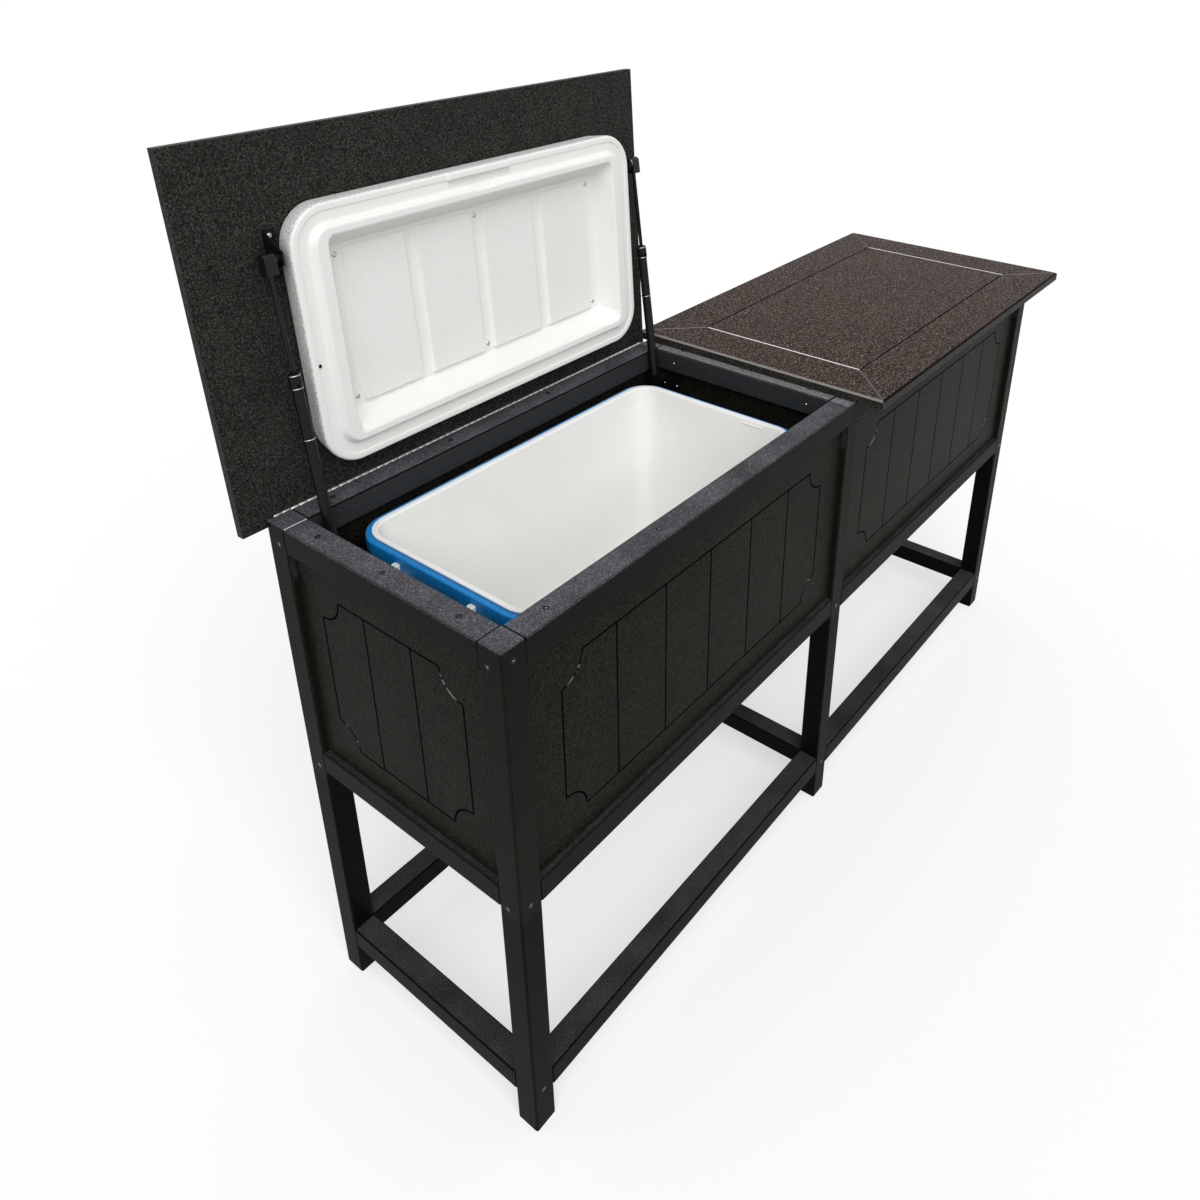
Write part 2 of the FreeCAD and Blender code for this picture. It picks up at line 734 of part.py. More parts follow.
# A bail handle: a U-shaped bar with cut-off corners and a pin on the outside of each arm.
def bail_handle():
    outer, inner = handle_half_width, handle_half_width - handle_arm_width
    top, bottom, ease = handle_thickness / 2, -handle_drop, handle_corner_ease
    half = [(outer, top), (outer, bottom + ease), (outer - ease, bottom)]
    opening = [(-inner, bottom + handle_grip_height), (-inner, top)]
    points = half + [(-y, z) for y, z in reversed(half)] + opening[::-1] + [(-y, z) for y, z in opening]
    outline = [Vector(handle_pivot_x - top, y, handle_pivot_z + z) for y, z in points]
    bail = Part.Face(Part.makePolygon(outline + outline[:1])).extrude(Vector(handle_thickness, 0, 0))
    pins = []
    for sign in (-1, 1):
        start = (handle_pivot_x, sign * inner, handle_pivot_z)
        end = (handle_pivot_x, sign * (outer + handle_pin_length), handle_pivot_z)
        pins.append(rod_between(start, end, handle_pin_radius))
    return bail.fuse(pins).removeSplitter()


def make_coolers():
    for side, centre in zip(("left", "right"), bay_centres):
        name = side + "_cooler"
        save(name + "_shell", [shifted(chest_shell(), centre)])
        save(name + "_liner", [shifted(chest_liner(), centre)])
        mounts = handle_mounts()
        mounts += [flipped(mount) for mount in mounts]
        save(name + "_handle_mounts", [shifted(mount, centre) for mount in mounts])
        for end, handle in zip(("right", "left"), both_ends(bail_handle())):
            save(name + "_" + end + "_handle", [shifted(handle, centre)])


make_posts()
make_top_rails()
make_lower_rails()
make_panels()
make_floors()
make_hinges()
make_frame_brackets()
make_struts()
make_lids()
make_coolers()
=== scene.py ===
import json
import math

import bpy
import numpy as np
from mathutils import Matrix, Vector


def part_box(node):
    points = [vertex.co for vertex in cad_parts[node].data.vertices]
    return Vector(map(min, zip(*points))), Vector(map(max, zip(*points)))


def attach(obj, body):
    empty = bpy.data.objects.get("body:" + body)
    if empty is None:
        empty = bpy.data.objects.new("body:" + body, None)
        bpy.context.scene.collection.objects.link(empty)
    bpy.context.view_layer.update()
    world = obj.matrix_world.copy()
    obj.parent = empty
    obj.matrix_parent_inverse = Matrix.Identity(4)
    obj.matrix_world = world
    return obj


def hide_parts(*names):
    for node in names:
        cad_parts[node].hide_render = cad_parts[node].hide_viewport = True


# Double cooler table in black poly lumber: two ice chests, each under a hinged table lid on gas struts.
# Metres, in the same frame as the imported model. The dictionaries of the pieces are in millimetres. Those of
# the finishes and the studio are in metres, apart from the sizes of cells and the camera's sensor and lens.
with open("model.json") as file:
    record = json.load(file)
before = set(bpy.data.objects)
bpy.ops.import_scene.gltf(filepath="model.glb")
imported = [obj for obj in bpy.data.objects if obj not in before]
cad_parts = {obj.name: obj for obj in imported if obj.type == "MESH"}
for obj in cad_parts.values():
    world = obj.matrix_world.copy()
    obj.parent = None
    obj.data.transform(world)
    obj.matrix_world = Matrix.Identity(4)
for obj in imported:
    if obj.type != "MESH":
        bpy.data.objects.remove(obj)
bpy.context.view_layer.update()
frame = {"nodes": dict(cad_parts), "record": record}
nodes = frame["nodes"]
mm = 0.001

table = {
    "bayCentres": {"left": -387.35, "right": 387.35}, "hingeY": 219.6, "hingeZ": 849.1, "openAngle": 93.1,
    "frameTop": 852.0, "frontFace": -216.7, "backFace": 216.7, "leftFace": -793.75, "rightFace": 793.75,
    "stock": 38.1,
}


# An sRGB hex value as linear red, green, blue and alpha, by the standard curve.
def linearColour(hexValue):
    parts = [int(hexValue[i:i + 2], 16) / 255 for i in (1, 3, 5)]
    return tuple(p / 12.92 if p <= 0.04045 else ((p + 0.055) / 1.055) ** 2.4 for p in parts) + (1.0,)


# One node with its settings and its inputs. An input is a plain value, an sRGB hex colour, a socket, or a
# node, whose first live output is then meant.
def addNode(tree, kind, settings=None, inputs=None):
    node = tree.nodes.new("ShaderNode" + kind)
    for name, value in (settings or {}).items():
        setattr(node, name, value)
    for name, value in (inputs or {}).items():
        if isinstance(value, bpy.types.Node):
            value = next(socket for socket in value.outputs if socket.enabled)
        if isinstance(value, bpy.types.NodeSocket):
            tree.links.new(value, node.inputs[name])
        else:
            node.inputs[name].default_value = linearColour(value) if isinstance(value, str) else value
    return node


def emptyMaterial(name):
    material = bpy.data.materials.new(name)
    material.use_nodes = True
    material.node_tree.nodes.clear()
    return material, material.node_tree


# Ends a material: a shader and its output.
def closeMaterial(tree, inputs):
    addNode(tree, "OutputMaterial", None, {"Surface": addNode(tree, "BsdfPrincipled", None, inputs)})


# Repeats per metre of a pattern whose cells are so many millimetres wide.
def perMetre(cellMm):
    return 1000.0 / cellMm


# The ends of the range that a value is read from, or brought to.
def between(ends):
    return {"From Min": ends[0], "From Max": ends[1]}


def onto(ends):
    return {"To Min": ends[0], "To Max": ends[1]}


# Coats of colour laid over a base, each as far as its own mask lets it.
def coated(tree, base, *coats):
    for mask, coat in coats:
        base = addNode(tree, "Mix", {"data_type": "RGBA"}, {0: mask, 6: base, 7: coat})
    return base


# Masks joined into one: multiplied, so that each limits the rest, or the strongest one taken.
def allOf(tree, mask, *others, operation="MULTIPLY"):
    for other in others:
        mask = addNode(tree, "Math", {"operation": operation}, {0: mask, 1: other})
    return mask


def anyOf(tree, *masks):
    return allOf(tree, *masks, operation="MAXIMUM")


# The largest part of the normal on a flat face, and on the wall of a cut or a bevel.
flatToCut = (0.97, 0.9)


# How a face lies: a mask that is 1 on the walls of cuts and bevels, the sizes of its normal's three parts,
# and the parts with their signs.
def faceLie(tree, place):
    axes = addNode(tree, "SeparateXYZ", None, {0: place.outputs["Normal"]})
    sizes = [addNode(tree, "Math", {"operation": "ABSOLUTE"}, {0: axes.outputs[i]}) for i in range(3)]
    cut = addNode(tree, "MapRange", None, {"Value": anyOf(tree, *sizes), **between(flatToCut)})
    return cut, sizes, axes.outputs


print("stage: materials")

# Poly lumber: recycled HDPE extruded through a die. Its skin is dull black with a coarse orange peel, whose
# high spots are a little paler. Tops carry a painted grey sheen, most near the left front corner, and the top
# of the middle rail carries the palest painted highlight. Top edges carry painted pale highlights in places,
# the faces that look into the bays a painted reflection of the white chests, the seams painted shade with one
# painted highlight at a joint, and the legs painted shade. The peel is drawn at 1.9 mm, coarser than the real
# 1.5 mm, so that it shows.
lumberLook = {
    "dark": "#0F0F0D", "light": "#1B1B18", "peak": "#2B2B27", "shadedLegs": "#0A0A09", "shadedLegsPeak": "#1A1A18",
    "topSheen": "#4F4F53", "topSheenPeak": "#8A8A94", "paleHighlight": "#67686B", "paleHighlightPeak": "#B6B7B9",
    "inner": "#2B2D2F", "innerPeak": "#4C4F52", "seamShade": "#030303", "jointHighlight": "#E4E4E0",
    "peel": {"Scale": perMetre(1.9), "Detail": 2.0, "Roughness": 0.65}, "peelPeaks": (0.5, 0.72),
    "drift": {"Scale": perMetre(70.0), "Detail": 3.0}, "driftPatches": (0.3, 0.65), "patchSheen": (0.7, 1.3),
    "rough": (0.3, 0.52), "bump": {"Strength": 0.7, "Distance": 0.0007}, "specular": 0.02,
    "sheenCorner": (-0.785, -0.09, 0.852), "sheenReach": (0.05, 0.42), "cornerSheen": (0.9, 0.72),
    "shadedRailZ": 0.4365, "shadedRailReach": 0.05, "shadedRailLoss": -0.7, "stretcherSheen": 0.45,
    "shadedLegsTopZ": (0.42, 0.44), "innerZ": (0.77, 0.78), "upperZ": (0.84, 0.85), "middleX": (0.0205, 0.0195),
    "topFaces": (0.9, 0.99), "topEdges": (0.25, 0.5), "edgeHighlightShare": 0.45,
    "seamAt": {"X": 0.75565, "Y": 0.1786}, "seamWidth": (0.0018, 0.00144),
    "jointHighlightAt": (-0.775, 0.1786, 0.852), "jointHighlightReach": 0.017,
}


def extrudedPolyLumber():
    look = lumberLook
    material, tree = emptyMaterial("extrudedPolyLumber")
    place = addNode(tree, "TexCoord")
    here = place.outputs["Object"]
    spot = addNode(tree, "SeparateXYZ", None, {0: here}).outputs
    peel = addNode(tree, "TexNoise", None, {"Vector": here, **look["peel"]})
    drift = addNode(tree, "TexNoise", None, {"Vector": here, **look["drift"]})
    high = addNode(tree, "MapRange", None, {"Value": peel, **between(look["peelPeaks"])})
    # painted shade: the lumber below the panels' rails takes darker colours
    aboveLegs = addNode(tree, "MapRange", None, {"Value": spot["Z"], **between(look["shadedLegsTopZ"])})
    shadedLegs = coated(tree, look["shadedLegs"], (high, look["shadedLegsPeak"]))
    base = coated(tree, look["dark"], (drift, look["light"]), (high, look["peak"]))
    cut, sizes, axes = faceLie(tree, place)
    top = addNode(tree, "MapRange", None, {"Value": axes["Z"], **between(look["topFaces"])})
    # painted sheen on the tops: most near the left front corner, less on the stretchers, and little on the
    # rails at the panels' level, which lie in shade
    corner = addNode(tree, "VectorMath", {"operation": "DISTANCE"}, {0: here, 1: look["sheenCorner"]})
    nearness = addNode(tree, "MapRange", None, {
        "Value": corner.outputs["Value"], **between(look["sheenReach"]), **onto(look["cornerSheen"])})
    # the rails at the panels' level are in shade, so they lose most of the painted sheen
    shadedRail = addNode(tree, "Math", {"operation": "COMPARE"}, {
        0: spot["Z"], 1: look["shadedRailZ"], 2: look["shadedRailReach"]})
    shadedRail = addNode(tree, "Math", {"operation": "MULTIPLY_ADD"}, {
        0: shadedRail, 1: look["shadedRailLoss"], 2: 1.0})
    stretchers = addNode(tree, "MapRange", None, {"Value": aboveLegs, "To Min": look["stretcherSheen"]})
    patches = addNode(tree, "MapRange", None, {
        "Value": drift, **between(look["driftPatches"]), **onto(look["patchSheen"])})
    patches = addNode(tree, "Math", {"operation": "MULTIPLY", "use_clamp": True}, {
        0: patches, 1: allOf(tree, nearness, stretchers, shadedRail)})
    sheenColour = coated(tree, look["topSheen"], (high, look["topSheenPeak"]))
    # painted highlights on the top edges and on the top of the middle rail
    paleHighlight = coated(tree, look["paleHighlight"], (high, look["paleHighlightPeak"]))
    upper = addNode(tree, "MapRange", None, {"Value": spot["Z"], **between(look["upperZ"])})
    edge = addNode(tree, "MapRange", None, {"Value": axes["Z"], **between(look["topEdges"])})
    edge = allOf(tree, edge, cut, drift, upper, look["edgeHighlightShare"])
    fromMiddle = addNode(tree, "Math", {"operation": "ABSOLUTE"}, {0: spot["X"]})
    middle = addNode(tree, "MapRange", None, {"Value": fromMiddle, **between(look["middleX"])})
    # painted shade darkens the seams between the rails and the posts, and one joint carries a painted pale
    # highlight
    seams = []
    for axis, at in look["seamAt"].items():
        away = addNode(tree, "Math", {"operation": "ABSOLUTE"}, {0: spot[axis]})
        away = addNode(tree, "Math", {"operation": "SUBTRACT"}, {0: away, 1: at})
        away = addNode(tree, "Math", {"operation": "ABSOLUTE"}, {0: away})
        seams.append(addNode(tree, "MapRange", None, {"Value": away, **between(look["seamWidth"])}))
    # a painted pale highlight at one joint
    highlightSpot = addNode(tree, "VectorMath", {"operation": "DISTANCE"}, {0: here, 1: look["jointHighlightAt"]})
    highlightSpot = addNode(tree, "Math", {"operation": "LESS_THAN"}, {
        0: highlightSpot.outputs["Value"], 1: look["jointHighlightReach"]})
    seamShadeAndHighlight = coated(tree, look["seamShade"], (highlightSpot, look["jointHighlight"]))
    # a painted reflection of the white chests makes the faces that look into the bays greyer
    inner = allOf(tree, anyOf(tree, seams[0], middle), sizes[0])
    inner = anyOf(tree, inner, allOf(tree, seams[1], sizes[1]))
    flat = addNode(tree, "Math", {"operation": "SUBTRACT"}, {0: 1.0, 1: anyOf(tree, cut, top)})
    within = addNode(tree, "MapRange", None, {"Value": spot["Z"], **between(look["innerZ"])})
    bayReflection = coated(tree, look["inner"], (high, look["innerPeak"]))
    colour = coated(tree, shadedLegs, (aboveLegs, base), (allOf(tree, top, patches), sheenColour), (edge, paleHighlight),
                    (allOf(tree, inner, flat, within), bayReflection),
                    (allOf(tree, anyOf(tree, *seams), upper, cut), seamShadeAndHighlight),
                    (allOf(tree, top, upper, middle), paleHighlight))
    rough = addNode(tree, "MapRange", None, {"Value": peel, **onto(look["rough"])})
    bump = addNode(tree, "Bump", None, {"Height": peel, **look["bump"]})
    closeMaterial(tree, {"Base Color": colour, "Roughness": rough, "Normal": bump,
                         "Specular IOR Level": look["specular"]})
    return material


# Pebbled HDPE sheet, pressed between grained rolls: a leathery grain of small domes, with painted shade in
# the creases and painted glints on the highest domes. Its cells are drawn at 2.8 mm, coarser than the real 2
# mm, so that they show. A routed cut is painted dark as its shadow, but on a lid's face the cuts across the
# sheet carry a painted pale highlight, greyer near the lid's ends.
sheetLook = {
    "pebble": {"Scale": perMetre(2.8), "Smoothness": 0.4},
    "grain": {"Scale": perMetre(2.0), "Detail": 3.0, "Roughness": 0.6},
    "drift": {"Scale": perMetre(60.0), "Detail": 3.0},
    "streaks": {"Scale": perMetre(9.0), "Detail": 1.0},
    "sparkle": {"Scale": perMetre(4.5), "Detail": 3.0, "Roughness": 0.7},
    "creaseDepth": -0.7, "domeTop": 0.85, "domes": (0.8, 1.2), "glints": (1.16, 1.3),
    "driftPatches": (0.3, 0.7), "patchDomes": (0.6, 1.0), "rough": (0.26, 0.46), "bump": 0.8,
    "specular": 0.02, "darkCut": "#020202", "paleCut": "#F6F4F0", "edgePale": "#8E8B86", "arcPale": "#7E7C76",
    "arcLean": (0.09, 0.14), "streakPeaks": (0.44, 0.55), "sparklePeaks": (0.58, 0.7),
    "upperFace": (0.2, 0.4), "crosswise": (0.54, 0.72), "endMargins": (0.004, 0.003),
}
# The lids' tones are a paler copy of the panels', painted lighter for the light that the lids catch. The
# upper face has warmer tones and painted sparkles.
panelTones = {"creaseShade": "#0F0F0C", "dome": "#272721", "glint": "#33332C", "depth": 0.0005}
underTones = {"creaseShade": "#1E1E1C", "dome": "#403F3C", "glint": "#54534F", "depth": 0.0007}
topTones = {"creaseShade": "#1E130D", "dome": "#463228", "glint": "#A49A93"}


# A colour that runs from painted shade in the creases to the domes, with a sparse painted glint on the
# highest points.
def pebbleColour(tree, domes, glints, tones):
    return coated(tree, tones["creaseShade"], (domes, tones["dome"]), (glints, tones["glint"]))


# A panel's sheet, or that of a table lid, whose upper face has tones of its own: up is the direction in which
# that face points, and ends are the lid's middle and half length along X.
def pebbledSheet(name, tones, up=None, ends=None):
    look = sheetLook
    material, tree = emptyMaterial(name)
    place = addNode(tree, "TexCoord")
    here = place.outputs["Object"]
    pebble = addNode(tree, "TexVoronoi", {"feature": "SMOOTH_F1"}, {"Vector": here, **look["pebble"]})
    grain = addNode(tree, "TexNoise", None, {"Vector": here, **look["grain"]})
    drift = addNode(tree, "TexNoise", None, {"Vector": here, **look["drift"]})
    height = addNode(tree, "Math", {"operation": "MULTIPLY_ADD"}, {
        0: pebble, 1: look["creaseDepth"], 2: look["domeTop"]})
    height = addNode(tree, "Math", {"operation": "ADD"}, {0: grain, 1: height})
    domes = addNode(tree, "MapRange", None, {"Value": height, **between(look["domes"])})
    patches = addNode(tree, "MapRange", None, {
        "Value": drift, **between(look["driftPatches"]), **onto(look["patchDomes"])})
    domes = allOf(tree, domes, patches)
    glints = addNode(tree, "MapRange", None, {"Value": height, **between(look["glints"])})
    colour = pebbleColour(tree, domes, glints, tones)
    cut, sizes, axes = faceLie(tree, place)
    if up is None:
        # Two of the four corner arcs carry painted highlights in short streaks. Only the slanting walls of an
        # arc have all three parts in their normal, and the sign of x y z tells one pair of arcs from the
        # other.
        lean = addNode(tree, "MapRange", None, {
            "Value": allOf(tree, axes["X"], axes["Y"], axes["Z"]), **between(look["arcLean"])})
        streak = addNode(tree, "TexNoise", None, {"Vector": here, **look["streaks"]})
        streak = addNode(tree, "MapRange", None, {"Value": streak, **between(look["streakPeaks"])})
        # the cuts are painted dark as their shadow
        colour = coated(tree, colour, (cut, look["darkCut"]),
                        (allOf(tree, lean, streak, cut), look["arcPale"]))
    else:
        toward = addNode(tree, "VectorMath", {"operation": "DOT_PRODUCT"}, {
            0: place.outputs["Normal"], 1: up}).outputs["Value"]
        top = addNode(tree, "MapRange", None, {"Value": toward, **between(look["upperFace"])})
        sparkle = addNode(tree, "TexNoise", None, {"Vector": here, **look["sparkle"]})
        sparkle = addNode(tree, "MapRange", None, {"Value": sparkle, **between(look["sparklePeaks"])})
        upper = coated(tree, pebbleColour(tree, domes, glints, topTones), (sparkle, topTones["glint"]))
        # painted pale highlights in the cuts that run across the sheet, greyer near its ends
        crosswise = addNode(tree, "MapRange", None, {"Value": sizes[0], **between(look["crosswise"])})
        spot = addNode(tree, "SeparateXYZ", None, {0: here})
        fromMiddle = addNode(tree, "Math", {"operation": "SUBTRACT"}, {0: spot, 1: ends[0]})
        fromMiddle = addNode(tree, "Math", {"operation": "ABSOLUTE"}, {0: fromMiddle})
        atEnd = addNode(tree, "MapRange", None, {
            "Value": fromMiddle, **between([ends[1] - margin for margin in look["endMargins"]])})
        pale = coated(tree, look["paleCut"], (atEnd, look["edgePale"]))
        # on the upper face the cuts are painted dark as their shadow, and those across the sheet carry a
        # painted pale highlight
        colour = coated(tree, colour, (top, upper), (allOf(tree, cut, top), look["darkCut"]),
                        (allOf(tree, cut, crosswise, top), pale))
    rough = addNode(tree, "MapRange", None, {"Value": grain, **onto(look["rough"])})
    bump = addNode(tree, "Bump", None, {
        "Height": height, "Strength": look["bump"], "Distance": tones["depth"]})
    closeMaterial(tree, {"Base Color": colour, "Roughness": rough, "Normal": bump,
                         "Specular IOR Level": look["specular"]})
    return material


# Moulded polyethylene: white or blue right through, and waxy rather than glossy. It is smooth inside, with a
# cast grain of small pits where a piece has its grain attribute, and the pits are painted darker as their
# shade.
mouldedLook = {
    "drift": {"Scale": perMetre(90.0), "Detail": 2.0}, "grain": {"Detail": 3.0, "Roughness": 0.6},
    "pits": (0.5, 0.3), "roughSpread": 0.06, "bump": 0.8, "specular": 0.35,
}
whitePlastic = {"base": "#F7F7F5", "shade": "#F1F1EE", "pitShade": "#B4B5B2", "grainMm": 2.2, "depth": 0.0007,
                "rough": 0.42}
bluePlastic = {"base": "#1E93DC", "shade": "#1480CB", "pitShade": "#0B5590", "grainMm": 1.8, "depth": 0.0006,
               "rough": 0.34}


def mouldedPolyethylene(name, plastic):
    look, rough = mouldedLook, plastic["rough"]
    material, tree = emptyMaterial(name)
    here = addNode(tree, "TexCoord").outputs["Object"]
    grain = addNode(tree, "TexNoise", None, {
        "Vector": here, "Scale": perMetre(plastic["grainMm"]), **look["grain"]})
    drift = addNode(tree, "TexNoise", None, {"Vector": here, **look["drift"]})
    mask = addNode(tree, "Attribute", {"attribute_name": "grain"}).outputs["Fac"]
    # the pits are painted darker, as their shade
    pits = addNode(tree, "MapRange", None, {"Value": grain, **between(look["pits"])})
    pits = addNode(tree, "Math", {"operation": "MULTIPLY", "use_clamp": True}, {0: pits, 1: mask})
    colour = coated(tree, plastic["shade"], (drift, plastic["base"]), (pits, plastic["pitShade"]))
    rough = addNode(tree, "MapRange", None, {
        "Value": grain, **onto((rough - look["roughSpread"], rough + look["roughSpread"]))})
    bump = addNode(tree, "Bump", None, {
        "Height": allOf(tree, grain, mask), "Strength": look["bump"], "Distance": plastic["depth"]})
    closeMaterial(tree, {"Base Color": colour, "Roughness": rough, "Normal": bump,
                         "Specular IOR Level": look["specular"]})
    return material


# Steel hardware. Each finish is its colour, metallic, roughness, texture size in millimetres, texture
# strength and specular level. Paint and powder keep a low specular level, so that black stays black.
hardwareLook = {"soot": "#272727", "sootShare": (0.0, 0.3), "detail": 2.0, "roughSpread": 0.08,
                "depth": 0.0002}
hardwareFinishes = {
    # drawn tube in gloss enamel: black, with one long clean highlight
    "glossBlackPaintedTube": ("#0A0A0B", 0.0, 0.25, 2.0, 0.05, 0.16),
    # ground rod, nitrided black: a little more lustrous than the tube
    "blackNitridedRod": ("#101012", 0.0, 0.28, 1.0, 0.05, 0.22),
    # pressed plate in powder coat: a fine sprayed peel and soft highlights
    "blackPowderCoat": ("#0D0D0E", 0.0, 0.4, 0.8, 0.3, 0.12),
    # oxide-blackened screw: dark, with small glints of metal
    "blackOxideScrew": ("#26262A", 1.0, 0.3, 0.8, 0.2, 0.5),
    # rolled stainless strip: mid grey, with broad reflections
    "rolledStainlessSteel": ("#A4A4A0", 1.0, 0.35, 0.8, 0.1, 0.5),
    # hinge sleeves polished by their turning: almost white
    "polishedHingeSleeve": ("#F2F2EE", 1.0, 0.55, 0.8, 0.1, 0.5),
    # bright zinc plate: sharp reflections
    "zincPlatedScrew": ("#C6C6C3", 1.0, 0.16, 0.6, 0.1, 0.5),
}


def hardwareFinish(name):
    look = hardwareLook
    baseHex, metallic, roughness, textureMm, strength, specular = hardwareFinishes[name]
    material, tree = emptyMaterial(name)
    here = addNode(tree, "TexCoord").outputs["Object"]
    texture = addNode(tree, "TexNoise", None, {
        "Vector": here, "Scale": perMetre(textureMm), "Detail": look["detail"]})
    shade = addNode(tree, "MapRange", None, {"Value": texture, **onto(look["sootShare"])})
    rough = addNode(tree, "MapRange", None, {
        "Value": texture, **onto((roughness - look["roughSpread"], roughness + look["roughSpread"]))})
    bump = addNode(tree, "Bump", None, {"Height": texture, "Strength": strength, "Distance": look["depth"]})
    closeMaterial(tree, {"Base Color": coated(tree, baseHex, (shade, look["soot"])), "Metallic": metallic,
                         "Specular IOR Level": specular, "Roughness": rough, "Normal": bump})
    return material


blackScrew = hardwareFinish("blackOxideScrew")
sleeveSteel = hardwareFinish("polishedHingeSleeve")
slotMaterials = {
    "lumber": extrudedPolyLumber(),
    "sheet": pebbledSheet("pebbledSheet", panelTones),
    "cooler_skin": mouldedPolyethylene("mouldedBluePolyethylene", bluePlastic),
    "cooler_white": mouldedPolyethylene("mouldedWhitePolyethylene", whitePlastic),
    "strut_tube": hardwareFinish("glossBlackPaintedTube"),
    "strut_rod": hardwareFinish("blackNitridedRod"),
    "bracket": hardwareFinish("blackPowderCoat"),
    "hinge": hardwareFinish("rolledStainlessSteel"),
    "screws": hardwareFinish("zincPlatedScrew"),
}
for subpart in frame["record"]["subparts"]:
    node = nodes[subpart["node"]]
    node.data.materials.clear()
    node.data.materials.append(slotMaterials[subpart["material_slot"]])
openTurn = math.radians(table["openAngle"])
lidFacing = {"left": (0.0, math.sin(openTurn), math.cos(openTurn)), "right": (0.0, 0.0, 1.0)}
for side, up in lidFacing.items():
    low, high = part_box(side + "_table_lid")
    nodes[side + "_table_lid"].data.materials[0] = pebbledSheet(
        side + "PebbledLidSheet", underTones, up, ((low[0] + high[0]) / 2, (high[0] - low[0]) / 2))


softening = {"weldReach": 0.02, "flatDegrees": 0.5, "sharpDegrees": 30.0, "segments": 2,
             "lumber": 1.1, "strut": 1.2, "handle": 1.0}


# Rounds the edges of CAD pieces: triangles are joined, flat faces are merged, and sharp edges are bevelled.
def softenEdges(names, width):
    for name in names:
        weld = nodes[name].modifiers.new("weld", "WELD")
        weld.merge_threshold = softening["weldReach"] * mm
        flat = nodes[name].modifiers.new("flat", "DECIMATE")
        flat.decimate_type = "DISSOLVE"
        flat.angle_limit = math.radians(softening["flatDegrees"])
        bevel = nodes[name].modifiers.new("bevel", "BEVEL")
        bevel.width = width * mm
        bevel.segments = softening["segments"]
        bevel.limit_method = "ANGLE"
        bevel.angle_limit = math.radians(softening["sharpDegrees"])


softenEdges([n["node"] for n in frame["record"]["subparts"] if n["material_slot"] == "lumber"],
            softening["lumber"])


# Points in millimetres from the middle of a bay, brought to their place in metres. Where turns is true they
# are points on a shut lid, and the left one is opened about its hinge.
def placed(points, side, turns):
    x, y, z = (points[:, i].astype(float) for i in range(3))
    x = x + table["bayCentres"][side]
    if turns and side == "left":
        dy, dz = y - table["hingeY"], z - table["hingeZ"]
        y = table["hingeY"] + dy * math.cos(openTurn) + dz * math.sin(openTurn)
        z = table["hingeZ"] - dy * math.sin(openTurn) + dz * math.cos(openTurn)
    return np.stack([x, y, z], 1) * mm


def newPiece(name, points, faces, body, slotName, material=None, grain=None):
    mesh = bpy.data.meshes.new(name)
    mesh.from_pydata(points.tolist(), [], [list(face) for face in faces])
    mesh.polygons.foreach_set("use_smooth", [True] * len(mesh.polygons))
    if grain is not None:
        attribute = mesh.attributes.new("grain", "FLOAT", "POINT")
        attribute.data.foreach_set("value", np.full(len(points), grain, np.float32))
    mesh.materials.append(material or slotMaterials[slotName])
    mesh.update()
    piece = bpy.data.objects.new(name, mesh)
    bpy.context.scene.collection.objects.link(piece)
    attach(piece, body)
    return piece


# Quads between neighbouring rows of a grid of points, as index arrays. The columns may close on themselves.
def gridQuads(rows, columns, closed, first=0):
    r, c = np.meshgrid(np.arange(rows - 1), np.arange(columns if closed else columns - 1), indexing="ij")
    here, beside = r * columns + c, r * columns + (c + 1) % columns
    return np.stack([here, beside, beside + columns, here + columns], -1).reshape(-1, 4) + first


# A loop round a rounded rectangle, held as corner signs and outward directions, so that each row of a
# carried profile can have its own length, depth and corner radius. Short guard steps stand beside each arc.
def roundLoop(steps, guard):
    signX, signY, angles, slides = [], [], [], []
    for corner, (sx, sy) in enumerate([(1, 1), (-1, 1), (-1, -1), (1, -1)]):
        arc = np.linspace(0, math.pi / 2, steps + 1) + corner * math.pi / 2
        arc = np.concatenate([arc[:1], arc, arc[-1:]])
        slide = np.concatenate([[-guard], np.zeros(steps + 1), [guard]])
        signX.append(np.full(len(arc), sx))
        signY.append(np.full(len(arc), sy))
        angles.append(arc)
        slides.append(slide)
    parts = (signX, signY, angles, slides)
    signX, signY, angles, slides = (np.concatenate(part).astype(float) for part in parts)
    return {"bx": signX, "by": signY, "nx": np.cos(angles), "ny": np.sin(angles),
            "tx": -np.sin(angles) * slides, "ty": np.cos(angles) * slides}


# Carries rows of (half length, half depth, corner radius, height) round the loop:
# point = corner centre + direction x radius + guard step.
def carryRound(loop, rows):
    rows = np.asarray(rows, float)
    halfX, halfY, radius, height = (rows[:, i:i + 1] for i in range(4))
    x = loop["bx"] * (halfX - radius) + loop["nx"] * radius + loop["tx"]
    y = loop["by"] * (halfY - radius) + loop["ny"] * radius + loop["ty"]
    z = np.broadcast_to(height, x.shape)
    return np.stack([x, y, z], -1).reshape(-1, 3)


